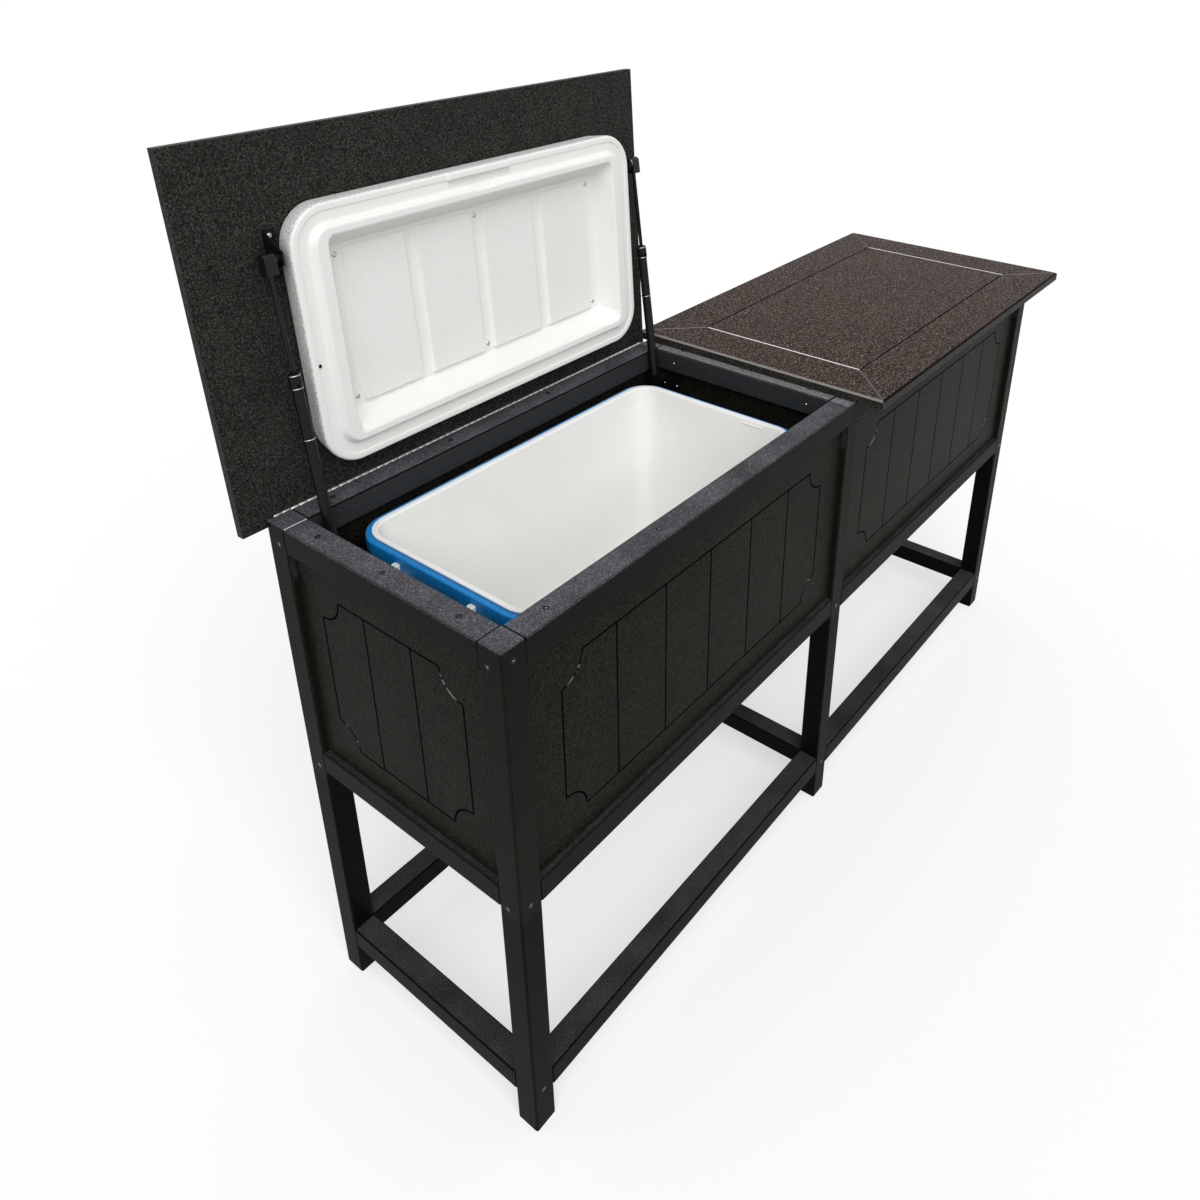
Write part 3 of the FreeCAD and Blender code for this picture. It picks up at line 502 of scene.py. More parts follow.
# Rounds the corners of a profile of (inset, height, fillet) points: each corner becomes an arc tangent
# to both of its sides. Gives rows of (inset, height).
def filletProfile(corners, steps):
    points = [np.array(corner[:2], float) for corner in corners]
    rows = [points[0]]
    for before, corner, after, fillet in zip(points, points[1:], points[2:], [c[2] for c in corners[1:-1]]):
        a, b = before - corner, after - corner
        a, b = a / np.linalg.norm(a), b / np.linalg.norm(b)
        if fillet <= 0:
            rows.append(corner)
            continue
        half = math.acos(np.clip(a @ b, -1, 1)) / 2
        reach = fillet / math.tan(half)
        centre = corner + (a + b) / np.linalg.norm(a + b) * fillet / math.sin(half)
        start, end = corner + a * reach - centre, corner + b * reach - centre
        turn = math.atan2(start[0] * end[1] - start[1] * end[0], start @ end)
        for share in np.linspace(0, 1, steps + 1):
            c, s = math.cos(turn * share), math.sin(turn * share)
            rows.append(centre + np.array([start[0] * c - start[1] * s, start[0] * s + start[1] * c]))
    rows.append(points[-1])
    return np.array(rows)


# Joins loops of a carried profile into a closed form: quads between rows, and a face at each end.
# The rows run so that (direction round the loop) x (direction along the rows) points outwards.
def closedRows(rows, count, turnedOver=False):
    faces = gridQuads(rows, count, True)
    last = (rows - 1) * count
    caps = [list(range(count))[::-1], list(range(last, last + count))]
    if turnedOver:
        return faces[:, ::-1].tolist() + [cap[::-1] for cap in caps]
    return faces.tolist() + caps


# A profile of (radius, height) rows turned about Z: x = r cos t, y = r sin t.
def turned(profile, sides):
    radius, height = np.array(profile, float).T
    angle = np.arange(sides) * 2 * math.pi / sides
    points = np.stack([np.outer(radius, np.cos(angle)), np.outer(radius, np.sin(angle)),
                       np.repeat(height[:, None], sides, 1)], -1).reshape(-1, 3)
    return points, closedRows(len(radius), sides)


# A block with rounded upright corners and rounded rims, about its own middle.
def roundedBlock(half, corner, fillet, guard, steps):
    high, (arcSteps, rimSteps) = half[2], steps
    rim = filletProfile([
        (corner, -high, 0), (0, -high, fillet), (0, high, fillet), (corner, high, 0)], rimSteps)
    inset = rim[:, 0]
    rows = np.stack([half[0] - inset, half[1] - inset, np.maximum(corner - inset, guard), rim[:, 1]], 1)
    loop = roundLoop(arcSteps, guard)
    return carryRound(loop, rows), closedRows(len(rows), len(loop["bx"]))


# The rise from which a direction counts as upright, and its side is taken from Y.
uprightRise = 0.9


# Copies of a small form, each at its own place and stood along its own direction:
# point = place + x side + y cross + z direction.
def scatter(form, places, directions):
    points, faces = form
    places = np.asarray(places, float)
    directions = np.broadcast_to(np.asarray(directions, float), places.shape)
    upright = np.abs(directions[:, 2:3]) > uprightRise
    sides = np.cross(np.where(upright, [[0.0, 1.0, 0.0]], [[0.0, 0.0, 1.0]]), directions)
    sides /= np.linalg.norm(sides, axis=1, keepdims=True)
    turn = np.stack([sides, np.cross(directions, sides), directions], 1)
    spread = places[:, None, :] + np.einsum("ij,kjl->kil", points, turn)
    count = len(points)
    copies = [[i + k * count for i in face] for k in range(len(places)) for face in faces]
    return spread.reshape(-1, 3), copies


# Several forms as one mesh.
def together(forms):
    starts = np.cumsum([0] + [len(points) for points, _ in forms])
    faces = [[i + start for i in face] for start, (_, form) in zip(starts.tolist(), forms) for face in form]
    return np.concatenate([points for points, _ in forms]), faces


print("stage: ice chest liners, skins and mounts")

chest = {
    "halfLength": 316.1, "halfDepth": 171.0, "corner": 50.0,
    "rimTop": 811.5, "skinTop": 808.5, "lipBottom": 787.0, "lipOut": 4.0, "skinInner": 12.5,
    "floorTop": 487.3, "endDraft": 17.0, "sideDraft": 15.0, "wall": 3.5,
    "rimInset": 9.0, "mouthInset": 18.5, "linerFloor": 513.3, "linerDraft": 19.0, "linerWall": 3.0,
    "lipFillet": 3.0, "lipEdge": 2.0, "footFillet": 16.0, "rimFillet": 4.0, "rimEdge": 1.2,
    "linerFillet": 24.0, "floorReach": 60.0, "arcSteps": 14, "guard": 2.0, "linerSteps": 8, "lipSteps": 6,
    "footSteps": 6, "wallSteps": 5, "linerCorner": 4.0, "skinCorner": 3.0, "linerGrain": 0.12,
    "skinGrain": 1.0, "earX": 320.0, "earY": 71.5, "earZ": 785.5, "earHalf": (4.0, 5.5, 13.5),
    "earCorner": 2.5, "earFillet": 1.5, "earGuard": 0.2, "earGrain": 0.5, "earSteps": (4, 3),
    "ribX": 297.6, "ribFrom": -99.5, "ribTo": -56.0, "ribZ": 803.0, "ribRadius": 2.0, "ribHole": 0.05,
    "ribSteps": 4, "ribSides": 12,
}
bodyOfChest = {"left": "left_cooler", "right": "frame"}


# The liner's section as (inset from the rim's outline, height), from the middle of the floor up the inside,
# over the rim and down the outside.
def makeLiner(side):
    c = chest
    rimX, rimY = c["halfLength"] - c["rimInset"], c["halfDepth"] - c["rimInset"]
    rimWidth = c["mouthInset"] - c["rimInset"]
    slope = c["linerDraft"] / (c["rimTop"] - c["linerFloor"])
    floorInset = rimWidth + c["linerDraft"]
    outerInset = floorInset - c["linerWall"]
    outerFloor = c["linerFloor"] - c["linerWall"]
    section = filletProfile([
        (floorInset + c["floorReach"], c["linerFloor"], 0),
        (floorInset, c["linerFloor"], c["linerFillet"]),
        (rimWidth, c["rimTop"], c["rimFillet"]),
        (0, c["rimTop"], c["rimEdge"]),
        (0, c["skinTop"], 0),
        (rimWidth - c["linerWall"] + slope * c["linerWall"], c["skinTop"], 0),
        (outerInset, outerFloor, c["linerFillet"]),
        (outerInset + c["floorReach"], outerFloor, 0)], c["linerSteps"])
    inset, height = section[:, 0], section[:, 1]
    cornerAtMouth = c["corner"] - c["mouthInset"]
    shrink = np.clip(inset - rimWidth - slope * (c["rimTop"] - height), 0, None)
    radius = np.where(inset < rimWidth, c["corner"] - c["rimInset"] - inset, cornerAtMouth) - shrink
    rows = np.stack([rimX - inset, rimY - inset, np.maximum(radius, c["linerCorner"]), height], 1)
    loop = roundLoop(c["arcSteps"], c["guard"])
    shell = carryRound(loop, rows), closedRows(len(rows), len(loop["bx"]), True)
    # a short moulded bar high on the right end wall
    r = c["ribRadius"]
    turn = np.linspace(0, math.pi / 2, c["ribSteps"] + 1)
    tip = np.stack([r * np.sin(turn), r * (1 - np.cos(turn))], 1) + [[c["ribHole"], 0]]
    bar = np.concatenate([tip, np.array([[0, c["ribTo"] - c["ribFrom"]]]) + tip[::-1] * [[1, -1]]])
    rib = scatter(turned(bar, c["ribSides"]), [(c["ribX"], c["ribFrom"], c["ribZ"])], (0.0, 1.0, 0.0))
    points, faces = together([shell, rib])
    piece = newPiece(side + "LinerShell", placed(points, side, False), faces, bodyOfChest[side],
                     "cooler_white", grain=c["linerGrain"])
    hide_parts(side + "_cooler_liner")


# The skin's rows, from the middle of its underside round the foot and up the drafted outside, over the deep
# rolled lip and back down inside. Half length = lip's half length - draft x share of the fall - foot's inset.
def makeSkin(side):
    c = chest
    fullFall = c["rimTop"] - c["floorTop"]
    turn = np.linspace(math.pi / 2, 0, c["footSteps"] + 1)
    footZ = c["floorTop"] + c["footFillet"] * (1 - np.sin(turn))
    rise = np.linspace(footZ[-1], c["lipBottom"], c["wallSteps"] + 1)[1:]
    inset = np.concatenate([[c["floorReach"]], c["footFillet"] * (1 - np.cos(turn)), np.zeros(len(rise))])
    height = np.concatenate([[c["floorTop"]], footZ, rise])
    share = (c["rimTop"] - height) / fullFall
    wall = np.stack([c["halfLength"] - c["lipOut"] - c["endDraft"] * share - inset,
                     c["halfDepth"] - c["lipOut"] - c["sideDraft"] * share - inset,
                     np.maximum(c["corner"] - c["lipOut"] - inset, c["skinCorner"]), height], 1)
    lip = filletProfile([
        (c["lipOut"], c["lipBottom"], 0),
        (0, c["lipBottom"], c["lipEdge"]),
        (0, c["skinTop"], c["lipFillet"]),
        (c["skinInner"], c["skinTop"], 0),
        (c["skinInner"], c["lipBottom"], 0)], c["lipSteps"])[1:]
    inset = lip[:, 0]
    lip = np.stack([c["halfLength"] - inset, c["halfDepth"] - inset, c["corner"] - inset, lip[:, 1]], 1)
    inner = c["lipOut"] + c["wall"]
    height = np.array([c["lipBottom"], c["floorTop"] + c["wall"]])
    share = (c["rimTop"] - height) / fullFall
    back = np.stack([c["halfLength"] - inner - c["endDraft"] * share,
                     c["halfDepth"] - inner - c["sideDraft"] * share,
                     np.full(2, c["corner"] - inner), height], 1)
    rows = np.concatenate([wall, lip, back])
    loop = roundLoop(c["arcSteps"], c["guard"])
    points = carryRound(loop, rows)
    piece = newPiece(side + "ChestSkin", placed(points, side, False), closedRows(len(rows), len(loop["bx"])),
                     bodyOfChest[side], "cooler_skin", grain=c["skinGrain"])
    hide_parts(side + "_cooler_shell")


# Four rounded ears under the lip hold the ends of the two bail handles.
def makeMounts(side):
    c = chest
    places = [(x * c["earX"], y * c["earY"], c["earZ"]) for x in (-1, 1) for y in (-1, 1)]
    ear = roundedBlock(c["earHalf"], c["earCorner"], c["earFillet"], c["earGuard"], c["earSteps"])
    points, faces = scatter(ear, places, (0.0, 0.0, 1.0))
    piece = newPiece(side + "HandleEars", placed(points, side, False), faces, bodyOfChest[side],
                     "cooler_white", grain=c["earGrain"])
    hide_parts(side + "_cooler_handle_mounts")


for side in ("left", "right"):
    makeLiner(side)
    makeSkin(side)
    makeMounts(side)

print("stage: ice chest lids")

chestLid = {
    "halfLength": 320.1, "halfDepth": 175.0, "corner": 54.0, "bottom": 812.0, "top": 852.0,
    "bandTop": 819.0, "endInset": 8.0, "sideInset": 2.0, "edgeFillet": 4.0, "topFillet": 5.0,
    "seamInset": 9.5, "seamStep": 1.3, "plugInset": 23.5, "plugBottom": 804.0, "plugSlope": 7.0,
    "ridgeInset": 33.0, "recessX": 271.6, "recessY": 134.0, "cornerPower": 3.0, "slopeRound": 0.13,
    "floorX": 257.6, "floorY": 112.5, "floorZ": 836.0, "channelZ": 842.0, "channelWidth": 20.0,
    "pitch": 122.0, "endChannelX": 242.6, "channelEndY": 107.5, "softEdge": 1.2,
    "ribX": 268.0, "ribYs": ((-99.0, 9.0), (105.0, 8.0)), "ribSide": (0.8, 2.4), "ribFade": 3.0,
    "ribRise": 1.8, "coarseMm": 5.0, "fineMm": 0.75, "fineReach": 3.0, "fineFade": 2.5, "samples": 8001,
    "ridgeFillet": 4.0, "plugRun": 0.8, "plugFillet": 3.5, "seamRun": 1.0, "seamFillet": 0.5, "bandSteps": 6,
    "crownDepth": 40.0, "crownCorner": 6.0, "crownSteps": 5,
    "tabMiddle": -6.5, "tabHalf": 58.5, "tabFade": 1.0, "tabDrop": 3.3, "tabInset": 9.5, "tabTurn": 2.0,
    "tabLimit": 6.0, "notchMiddle": -5.5, "notchHalf": 18.5, "notchFade": 1.5, "notchDepth": 5.0,
    "notchTurn": (1.0, 4.0), "notchStart": 3.0, "notchShare": 0.8, "smoothGrain": 0.15, "castGrain": 1.5,
    "grainFrom": 1.5, "underMargin": 1.0, "screwSides": 20, "ventSides": 16,
    "screwXs": (-242.6, 0.0, 242.6), "screwY": 99.5, "screwZ": 842.0,
    "screwHead": [(3.9, -0.6), (4.1, 0.3), (3.7, 1.3), (2.7, 2.1), (1.5, 2.5), (1.2, 2.45), (0.5, 1.3)],
    "ventAt": (-309.0, 27.0), "vent": [(2.7, -0.4), (2.5, 0.12), (1.9, 0.12), (0.6, 0.02)],
}


def smoothRise(value, low, high):
    t = np.clip((value - low) / (high - low), 0, 1)
    return t * t * (3 - 2 * t)


# A number held between 0 and 1 with rounded ends of width k.
def softHold(value, k):
    upper = np.where(value > 1 - k, 1 - np.clip(1 + k - value, 0, 2 * k) ** 2 / (4 * k), value)
    return np.where(upper < k, np.clip(upper + k, 0, 2 * k) ** 2 / (4 * k), upper)


# Grid lines from -half to half, close together near the marks: equal shares of the summed density 1 / step.
def linesNear(half, marks):
    s = chestLid
    along = np.linspace(-half, half, s["samples"])
    away = np.abs(along[:, None] - np.asarray(marks)[None, :]).min(1)
    coarse = smoothRise(away, s["fineReach"], s["fineReach"] * s["fineFade"])
    density = 1 / (s["fineMm"] + (s["coarseMm"] - s["fineMm"]) * coarse)
    total = np.concatenate([[0], np.cumsum((density[1:] + density[:-1]) / 2 * np.diff(along))])
    return np.interp(np.linspace(0, total[-1], int(total[-1]) | 1), total, along)


# Height of the underside inside the ridge: the recess falls from the ridge to the pads, and channels run
# between the pads. Height = ridge + (floor - ridge) x (1 - slope share). The slope share is measured in
# widths of the end slope and the side slope, joined by a power sum so that the corners come out tightly
# rounded.
def recessHeight(x, y):
    s = chestLid
    u = np.maximum((np.abs(x) - s["floorX"]) / (s["recessX"] - s["floorX"]), 0)
    v = np.maximum((np.abs(y) - s["floorY"]) / (s["recessY"] - s["floorY"]), 0)
    power = s["cornerPower"]
    share = softHold((u ** power + v ** power) ** (1 / power), s["slopeRound"])
    pad = np.ones_like(x)
    half, soft = s["channelWidth"] / 2, s["softEdge"]
    for middle in (-s["pitch"], 0.0, s["pitch"]):
        pad = pad * smoothRise(np.abs(x - middle), half - soft, half + soft)
    endEdge = s["endChannelX"] - half
    pad = pad * (1 - smoothRise(np.abs(x), endEdge - soft, endEdge + soft))
    pad = pad * (1 - smoothRise(np.abs(y), s["channelEndY"] - soft, s["channelEndY"] + soft))
    floor = s["channelZ"] + (s["floorZ"] - s["channelZ"]) * pad
    z = s["plugBottom"] + (floor - s["plugBottom"]) * (1 - share)
    # two short raised ribs on the right end slope
    for ribY, ribHalf in s["ribYs"]:
        side = 1 - smoothRise(np.abs(x - s["ribX"]), *s["ribSide"])
        end = 1 - smoothRise(np.abs(y - ribY), ribHalf, ribHalf + s["ribFade"])
        z = z - s["ribRise"] * side * end
    return z


# The whole ice chest lid as one closed skin. A grid over the inner outline carries the recess. Rings
# outside it, on the same corner centres, carry the ridge, the flange, the edge and the crown.
def makeChestLid(side):
    s = chestLid
    a, b = s["halfLength"] - s["ridgeInset"], s["halfDepth"] - s["ridgeInset"]
    r = s["corner"] - s["ridgeInset"]
    half = s["channelWidth"] / 2
    marksX = [middle + edge for middle in (-s["pitch"], 0.0, s["pitch"]) for edge in (-half, half)]
    for mark in (s["endChannelX"] - half, s["floorX"], s["ribX"], s["recessX"]):
        marksX += [-mark, mark]
    marksX += [s["tabMiddle"] + way * s["tabHalf"] for way in (-1, 1)]
    marksX += [s["notchMiddle"] + way * s["notchHalf"] for way in (-1, 1)]
    marksY = [sign * mark for sign in (-1, 1) for mark in (s["channelEndY"], s["floorY"], s["recessY"])]
    gx, gy = np.meshgrid(linesNear(a, marksX), linesNear(b, marksY), indexing="ij")
    # square corners are drawn in to round ones: x = p sqrt(1 - q q / 2), y = q sqrt(1 - p p / 2)
    p = np.clip((np.abs(gx) - (a - r)) / r, 0, 1)
    q = np.clip((np.abs(gy) - (b - r)) / r, 0, 1)
    x = np.sign(gx) * (np.minimum(np.abs(gx), a - r) + r * p * np.sqrt(1 - q * q / 2))
    y = np.sign(gy) * (np.minimum(np.abs(gy), b - r) + r * q * np.sqrt(1 - p * p / 2))
    inner = np.stack([x, y, recessHeight(x, y)], -1).reshape(-1, 3)
    nx, ny = gx.shape
    index = np.arange(nx * ny).reshape(nx, ny)
    edge = np.concatenate([index[-1, :], index[::-1, -1][1:], index[0, ::-1][1:], index[:, 0][1:-1]])
    rim = inner[edge]
    baseX, baseY = np.clip(rim[:, 0], -(a - r), a - r), np.clip(rim[:, 1], -(b - r), b - r)
    loop = {"bx": baseX / (a - r), "by": baseY / (b - r), "nx": (rim[:, 0] - baseX) / r,
            "ny": (rim[:, 1] - baseY) / r, "tx": 0, "ty": 0}
    # the section as (inset from the flange's outline, height), from the ridge outwards and up to the band
    section = filletProfile([
        (s["ridgeInset"], s["plugBottom"], 0),
        (s["plugInset"] + s["plugSlope"], s["plugBottom"], s["ridgeFillet"]),
        (s["plugInset"] + s["plugRun"], s["bottom"] + s["seamStep"], s["plugFillet"]),
        (s["seamInset"] + s["seamRun"], s["bottom"] + s["seamStep"], s["seamFillet"]),
        (s["seamInset"], s["bottom"], s["seamFillet"]),
        (0, s["bottom"], s["edgeFillet"]),
        (0, s["bandTop"], 0)], s["bandSteps"])
    rows = [(s["halfLength"] - i, s["halfDepth"] - i, s["corner"] - i, z) for i, z in section[1:]]
    # the crown draws in by its own amount at the ends and sides, then turns over to the flat top
    top = filletProfile([(0, s["bandTop"], 0), (0, s["top"], s["topFillet"]), (s["crownDepth"], s["top"], 0)],
                        s["crownSteps"])
    for extra, z in top[1:]:
        share = (z - s["bandTop"]) / (s["top"] - s["bandTop"])
        rows.append((s["halfLength"] - s["endInset"] * share - extra,
                     s["halfDepth"] - s["sideInset"] * share - extra,
                     max(s["corner"] - extra, s["crownCorner"]), z))
    outer = carryRound(loop, rows)
    insets = np.repeat([s["halfLength"] - row[0] for row in rows], len(edge))
    under = (outer[:, 1] < 0) & (outer[:, 2] < s["bandTop"] - s["underMargin"])
    # the pull tab hangs from the flange at the middle of the front edge
    half, fade = s["tabHalf"], s["tabFade"]
    tab = 1 - smoothRise(np.abs(outer[:, 0] - s["tabMiddle"]), half - fade, half + fade)
    tab = tab * under * (insets < s["plugInset"] - s["tabLimit"])
    tab = tab * (1 - smoothRise(insets, s["tabInset"], s["tabInset"] + s["tabTurn"]))
    outer[:, 2] -= s["tabDrop"] * tab
    # the finger notch in the front of the plug
    half, fade = s["notchHalf"], s["notchFade"]
    notch = 1 - smoothRise(np.abs(outer[:, 0] - s["notchMiddle"]), half - fade, half + fade)
    deep = s["plugInset"] + s["notchDepth"]
    notch = notch * under * (1 - smoothRise(insets, *(deep + turn for turn in s["notchTurn"])))
    notch = notch * (insets > s["plugInset"] - s["notchStart"])
    outer[:, 2] += np.maximum(s["bottom"] - outer[:, 2], 0) * s["notchShare"] * notch
    points = np.concatenate([inner, outer])
    count, first = len(edge), nx * ny
    here = np.arange(count)
    joining = np.stack([edge, np.roll(edge, -1), first + (here + 1) % count, first + here], 1)
    rings = gridQuads(len(rows), count, True, first)
    last = first + (len(rows) - 1) * count
    faces = gridQuads(nx, ny, False).tolist() + joining.tolist() + rings.tolist()
    faces.append(list(range(last, last + count)))
    # the outer wall has a cast grain, and the underside is smooth
    outerWall = outer[:, 2] > s["bottom"] + s["grainFrom"]
    grain = np.concatenate([np.full(len(inner), s["smoothGrain"]),
                            np.where(outerWall, s["castGrain"], s["smoothGrain"])])
    piece = newPiece(side + "ChestLidSkin", placed(points, side, True), faces, side + "_lid", "cooler_white",
                     grain=grain)
    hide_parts(side + "_cooler_lid", side + "_cooler_lid_panel")


# Round-headed screws hold the chest lid to the table lid. Each profile runs from the seat to the drive.
def makeLidScrews(side):
    s = chestLid
    head = turned(s["screwHead"], s["screwSides"])
    places = [(x, y * s["screwY"], s["screwZ"]) for x in s["screwXs"] for y in (-1, 1)]
    points, faces = scatter(head, places, (0.0, 0.0, -1.0))
    piece = newPiece(side + "LidScrews", placed(points, side, True), faces, side + "_lid", "screws")
    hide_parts(side + "_lid_screws")
    # a black disc in the left end of the flange stands for the painted shade inside a small air hole
    vent = turned(s["vent"], s["ventSides"])
    points, faces = scatter(vent, [(*s["ventAt"], s["bottom"])], (0.0, 0.0, -1.0))
    newPiece(side + "LidVentShadeDisc", placed(points, side, True), faces, side + "_lid", "cooler_white",
             blackScrew)


for side in ("left", "right"):
    makeChestLid(side)
    makeLidScrews(side)

print("stage: screws, hinges and struts")

frameScrews = {
    "railX": (-315.5, -105.5, 105.5, 315.5), "frontRailY": -196.7, "backRailY": 199.3,
    "sideY": (-130.5, 5.0, 131.5), "postEndZ": (825.0, 443.0), "postEndInset": 23.0,
    "postFrontZ": (834.0, 450.0, 78.0), "postFrontInset": 18.0, "lidLevel": 800.0,
    "pointY": (-137.2, 137.0), "pointZ": 832.5, "headSides": 20, "driveSides": 12, "pointSides": 12,
    "head": [(3.6, -0.8), (4.0, 0.02), (3.6, 0.08), (1.9, 0.1), (1.6, 0.05), (1.3, -0.5)],
    "drive": [(1.1, -0.4), (1.0, 0.02), (0.6, 0.08), (0.2, 0.1)],
    "point": [(2.2, -0.3), (2.0, 0.5), (1.2, 1.4), (0.3, 2.0)],
}


# Countersunk screws in the frame: each place in the pattern is mirrored to the other ends and sides. The
# middle posts and the backs of the posts have none at the level of the lids.
def makeFrameScrews():
    f = frameScrews
    top, front, back = table["frameTop"], table["frontFace"], table["backFace"]
    left, right = table["leftFace"], table["rightFace"]
    places, directions = [], []
    for centre in table["bayCentres"].values():
        for x in f["railX"]:
            for y in (f["frontRailY"], f["backRailY"]):
                places.append((centre + x, y, top))
                directions.append((0.0, 0.0, 1.0))
    for z in f["postEndZ"]:
        for x, way in ((left, -1.0), (right, 1.0)):
            for y in (front + f["postEndInset"], back - f["postEndInset"]):
                places.append((x, y, z))
                directions.append((way, 0.0, 0.0))
    for z in f["postFrontZ"]:
        for x in (left + f["postFrontInset"], 0.0, right - f["postFrontInset"]):
            for y, way in ((front, -1.0), (back, 1.0)):
                if z < f["lidLevel"] or way < 0 and x != 0:
                    places.append((x, y, z))
                    directions.append((0.0, way, 0.0))
    # the drive recesses are worn bright, except in the end rails
    points, faces = scatter(turned(f["drive"], f["driveSides"]), places, directions)
    newPiece("frameScrewDrives", points * mm, faces, "frame", "screws")
    half = table["stock"] / 2
    for x in (left + half, 0.0, right - half):
        for y in f["sideY"]:
            places.append((x, y, top))
            directions.append((0.0, 0.0, 1.0))
    points, faces = scatter(turned(f["head"], f["headSides"]), places, directions)
    newPiece("frameScrewHeads", points * mm, faces, "frame", "screws", blackScrew)
    # small bright screw points where the rail screws come through the middle rail
    places = [(way * half, y, f["pointZ"]) for way in (-1, 1) for y in f["pointY"]]
    directions = [(float(way), 0.0, 0.0) for way in (-1, 1) for _ in f["pointY"]]
    points, faces = scatter(turned(f["point"], f["pointSides"]), places, directions)
    newPiece("middleRailPoints", points * mm, faces, "frame", "screws")


hinge = {"endMargin": 12.7, "pitch": 12.7, "sleeveRadius": 2.72, "gap": 0.5, "bore": 1.0, "rim": 0.35,
         "rimLength": 0.4, "sides": 14}


# The rolled sleeves of each continuous hinge: short tubes on the pin's line, turn and turn about on both
# leaves.
def makeHingeSleeves(side):
    h = hinge
    low = table["leftFace"] + h["endMargin"] if side == "left" else h["endMargin"]
    span = -table["leftFace"] - 2 * h["endMargin"]
    count = int(span / h["pitch"])
    half, r = (span / count - h["gap"]) / 2, h["sleeveRadius"]
    bore, rim, flank = r - h["bore"], r - h["rim"], half - h["rimLength"]
    sleeve = turned([(bore, -half), (rim, -half), (r, -flank), (r, flank), (rim, half), (bore, half)],
                    h["sides"])
    middles = low + (np.arange(count) + 0.5) * span / count
    places = np.stack([middles, np.full(count, table["hingeY"]), np.full(count, table["hingeZ"])], 1)
    for first, body, name in ((0, "frame", "FrameHingeSleeves"), (1, side + "_lid", "LidHingeSleeves")):
        points, faces = scatter(sleeve, places[first::2], (1.0, 0.0, 0.0))
        newPiece(side + name, points * mm, faces, body, "hinge", sleeveSteel)


strut = {
    "x": 346.4, "footY": 163.3, "footZ": 799.0, "headY": -119.1, "headZ": 824.0, "tubeTop": 249.5,
    "lidScrewX": 322.0, "lidScrewYs": (-141.5, -96.0), "lidScrewZ": 850.0,
    "plateThickness": 2.0, "plateScrewYs": (136.3, 164.3), "plateScrewZ": 784.0, "clipX": 338.0,
    "trimSides": 28, "screwSides": 18, "clipSides": 24,
    "ringsBack": (2.2, 19.5, 89.0), "ring": [(7.75, -0.8), (8.4, -0.5), (8.4, 0.5), (7.75, 0.8)],
    "collar": [(7.65, -19.5), (8.25, -18.9), (8.25, -3.0), (7.05, -0.6), (5.85, 0.3), (3.3, 0.6)],
    "screwHead": [(3.6, -0.4), (3.8, 0.3), (3.4, 1.3), (2.3, 2.1), (1.2, 2.3), (0.4, 1.5)],
    "clip": [(4.8, -0.2), (6.5, -0.7), (7.0, 0.0), (6.5, 0.7), (4.8, 0.2)],
}


# A gas strut's collar and crimped rings: profiles turned about the line from its foot to its head.
def makeStrutTrim(side, end):
    t = strut
    way = {"left": -1, "right": 1}[end]
    foot = placed(np.array([(way * t["x"], t["footY"], t["footZ"])]), side, False)[0] / mm
    head = placed(np.array([(way * t["x"], t["headY"], t["headZ"])]), side, True)[0] / mm
    along = (head - foot) / np.linalg.norm(head - foot)
    body = side + "_lid_" + end + "_strut_tube"
    points, faces = scatter(turned(t["collar"], t["trimSides"]), [foot + along * t["tubeTop"]], along)
    newPiece(side + end.capitalize() + "StrutCollar", points * mm, faces, body, "strut_tube")
    rings = [foot + along * (t["tubeTop"] - back) for back in t["ringsBack"]]
    points, faces = scatter(turned(t["ring"], t["trimSides"]), rings, along)
    newPiece(side + end.capitalize() + "StrutRings", points * mm, faces, body, "screws")


# Round-headed screws in the plates that carry the struts, on the lid and on the frame.
def makeStrutScrews(side):
    t = strut
    head = turned(t["screwHead"], t["screwSides"])
    places = [(way * t["lidScrewX"], y, t["lidScrewZ"]) for way in (-1, 1) for y in t["lidScrewYs"]]
    points, faces = scatter(head, places, (0.0, 0.0, -1.0))
    newPiece(side + "StrutLidScrews", placed(points, side, True), faces, side + "_lid", "screws")
    plateX = table["bayCentres"]["left"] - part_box("strut_frame_brackets")[0][0] / mm - t["plateThickness"]
    places = [(way * plateX, y, t["plateScrewZ"]) for way in (-1, 1) for y in t["plateScrewYs"]]
    directions = [(-float(way), 0.0, 0.0) for way in (-1, 1) for _ in t["plateScrewYs"]]
    points, faces = scatter(head, places, directions)
    newPiece(side + "StrutPlateScrews", placed(points, side, False), faces, "frame", "screws")
    # a bright spring clip on each socket, beside its stud
    for end, way in (("left", -1), ("right", 1)):
        clipAt = [(way * t["clipX"], t["headY"], t["headZ"])]
        points, faces = scatter(turned(t["clip"], t["clipSides"]), clipAt, (1.0, 0.0, 0.0))
        newPiece(side + end.capitalize() + "SocketClip", placed(points, side, True), faces,
                 side + "_lid_" + end + "_strut_rod", "screws")


makeFrameScrews()
for side in ("left", "right"):
    makeHingeSleeves(side)
    makeStrutScrews(side)
    for end in ("left", "right"):
        makeStrutTrim(side, end)
softenEdges([name for name in nodes if "_strut_" in name and "bracket" not in name], softening["strut"])
softenEdges([name for name in nodes if name.endswith("_handle")], softening["handle"])

print("stage: floor, light and camera")

studio = {
    "floorHex": "#BEBEBD", "floorHalf": 30.0, "floorLift": 0.53, "worldFill": 0.52, "sunStrength": 1.85,
    "sunSpread": 50.0, "sunFrom": (-0.42, -0.56, 0.71),
    "sensor": 36.0, "lens": 30.62, "shift": (-0.0482, -0.1691), "eye": (-1.37420, -0.87656, 1.56659),
    "right": (0.6141189, -0.7892026, 0.0041365), "up": (0.3355301, 0.2658300, 0.9037444),
    "back": (-0.7143371, -0.5536187, 0.4280524),
}


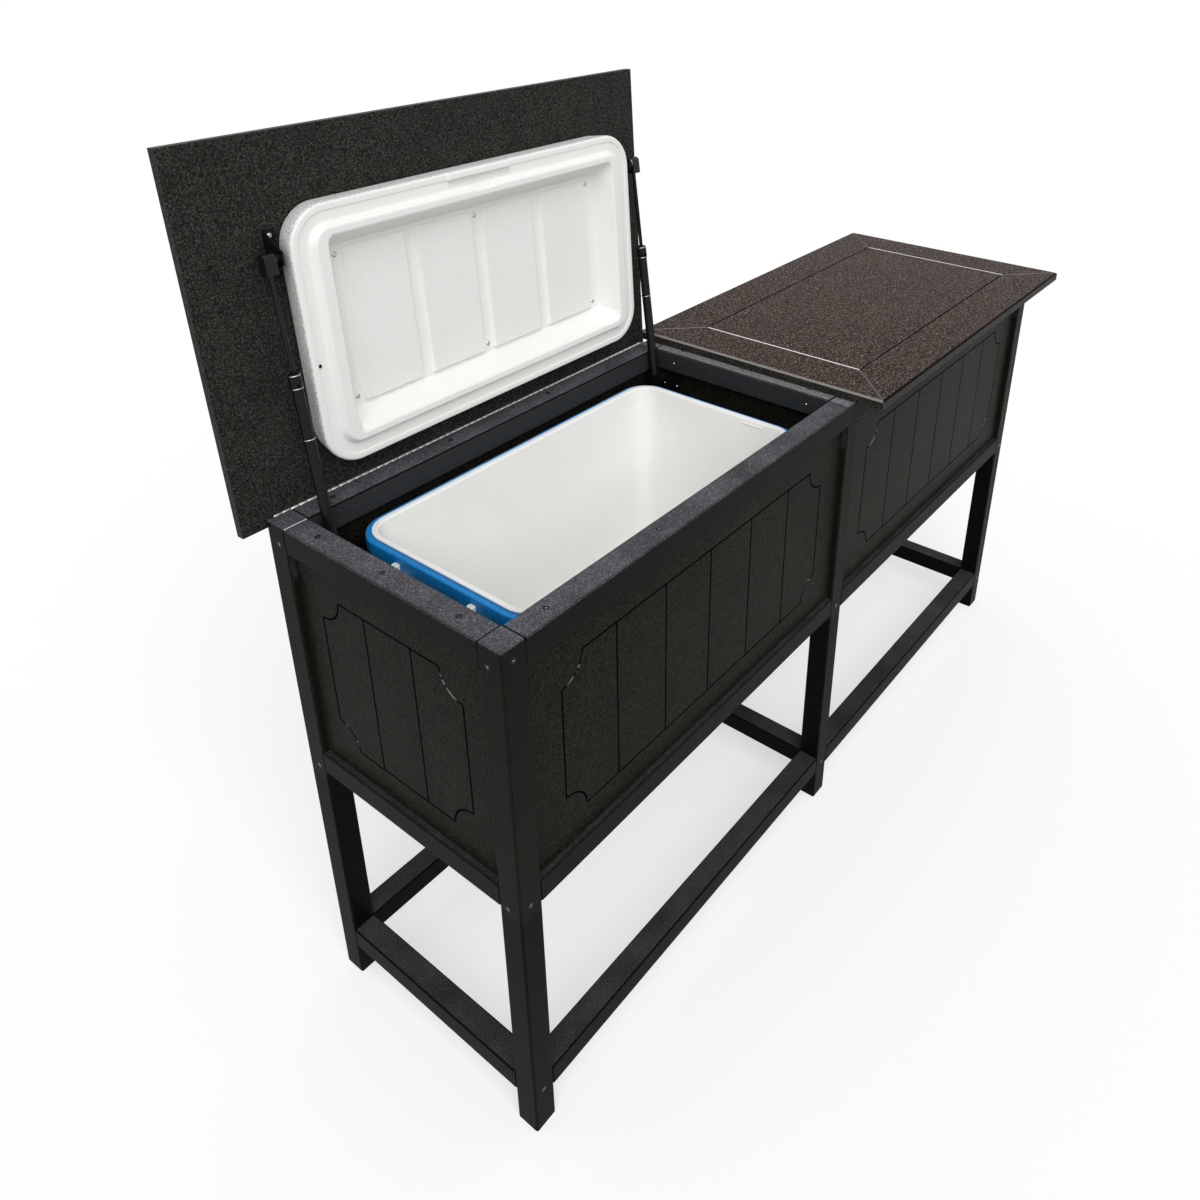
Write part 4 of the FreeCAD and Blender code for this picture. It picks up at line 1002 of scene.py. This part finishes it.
# 1 where the eye meets a surface directly, in a reflection or through glass, and 0 for the light it gives.
def seenMask(tree):
    path = addNode(tree, "LightPath").outputs
    return anyOf(tree, path["Is Camera Ray"], path["Is Glossy Ray"], path["Is Transmission Ray"])


# A pale seamless floor. Seen directly it is lifted to white, and it keeps the table's shadow.
def makeFloor():
    half = studio["floorHalf"]
    corners = [(x * half, y * half, 0) for x, y in ((-1, -1), (1, -1), (1, 1), (-1, 1))]
    mesh = bpy.data.meshes.new("studioFloor")
    mesh.from_pydata(corners, [], [(0, 1, 2, 3)])
    floor = bpy.data.objects.new("studioFloor", mesh)
    bpy.context.scene.collection.objects.link(floor)
    material, tree = emptyMaterial("paleFloor")
    lift = allOf(tree, seenMask(tree), studio["floorLift"])
    paint = addNode(tree, "BsdfDiffuse", None, {"Color": studio["floorHex"]})
    glow = addNode(tree, "Emission", None, {"Strength": lift})
    both = addNode(tree, "AddShader", None, {0: paint, 1: glow})
    addNode(tree, "OutputMaterial", None, {"Surface": both})
    mesh.materials.append(material)


def makeWorld():
    world = bpy.data.worlds.new("studioWorld")
    bpy.context.scene.world = world
    world.use_nodes = True
    tree = world.node_tree
    tree.nodes.clear()
    strength = addNode(tree, "MapRange", None, {"Value": seenMask(tree), **onto((studio["worldFill"], 1.0))})
    sky = addNode(tree, "Background", None, {"Color": "#FFFFFF", "Strength": strength})
    addNode(tree, "OutputWorld", None, {"Surface": sky})


# A broad soft sun, wide enough to leave no hard shadow edges.
def makeSun():
    light = bpy.data.lights.new("softSun", "SUN")
    light.energy = studio["sunStrength"]
    light.angle = math.radians(studio["sunSpread"])
    lamp = bpy.data.objects.new("softSun", light)
    bpy.context.scene.collection.objects.link(lamp)
    lamp.rotation_euler = Vector(studio["sunFrom"]).to_track_quat("Z", "Y").to_euler()


# The camera stands where the photograph was taken from.
def makeCamera():
    data = bpy.data.cameras.new("photoCamera")
    data.sensor_width = studio["sensor"]
    data.lens = studio["lens"]
    data.shift_x, data.shift_y = studio["shift"]
    camera = bpy.data.objects.new("photoCamera", data)
    bpy.context.scene.collection.objects.link(camera)
    turn = Matrix((studio["right"], studio["up"], studio["back"])).transposed()
    camera.matrix_world = Matrix.Translation(studio["eye"]) @ turn.to_4x4()
    bpy.context.scene.camera = camera


makeFloor()
makeWorld()
makeSun()
makeCamera()
bpy.context.scene.view_settings.view_transform = "Standard"
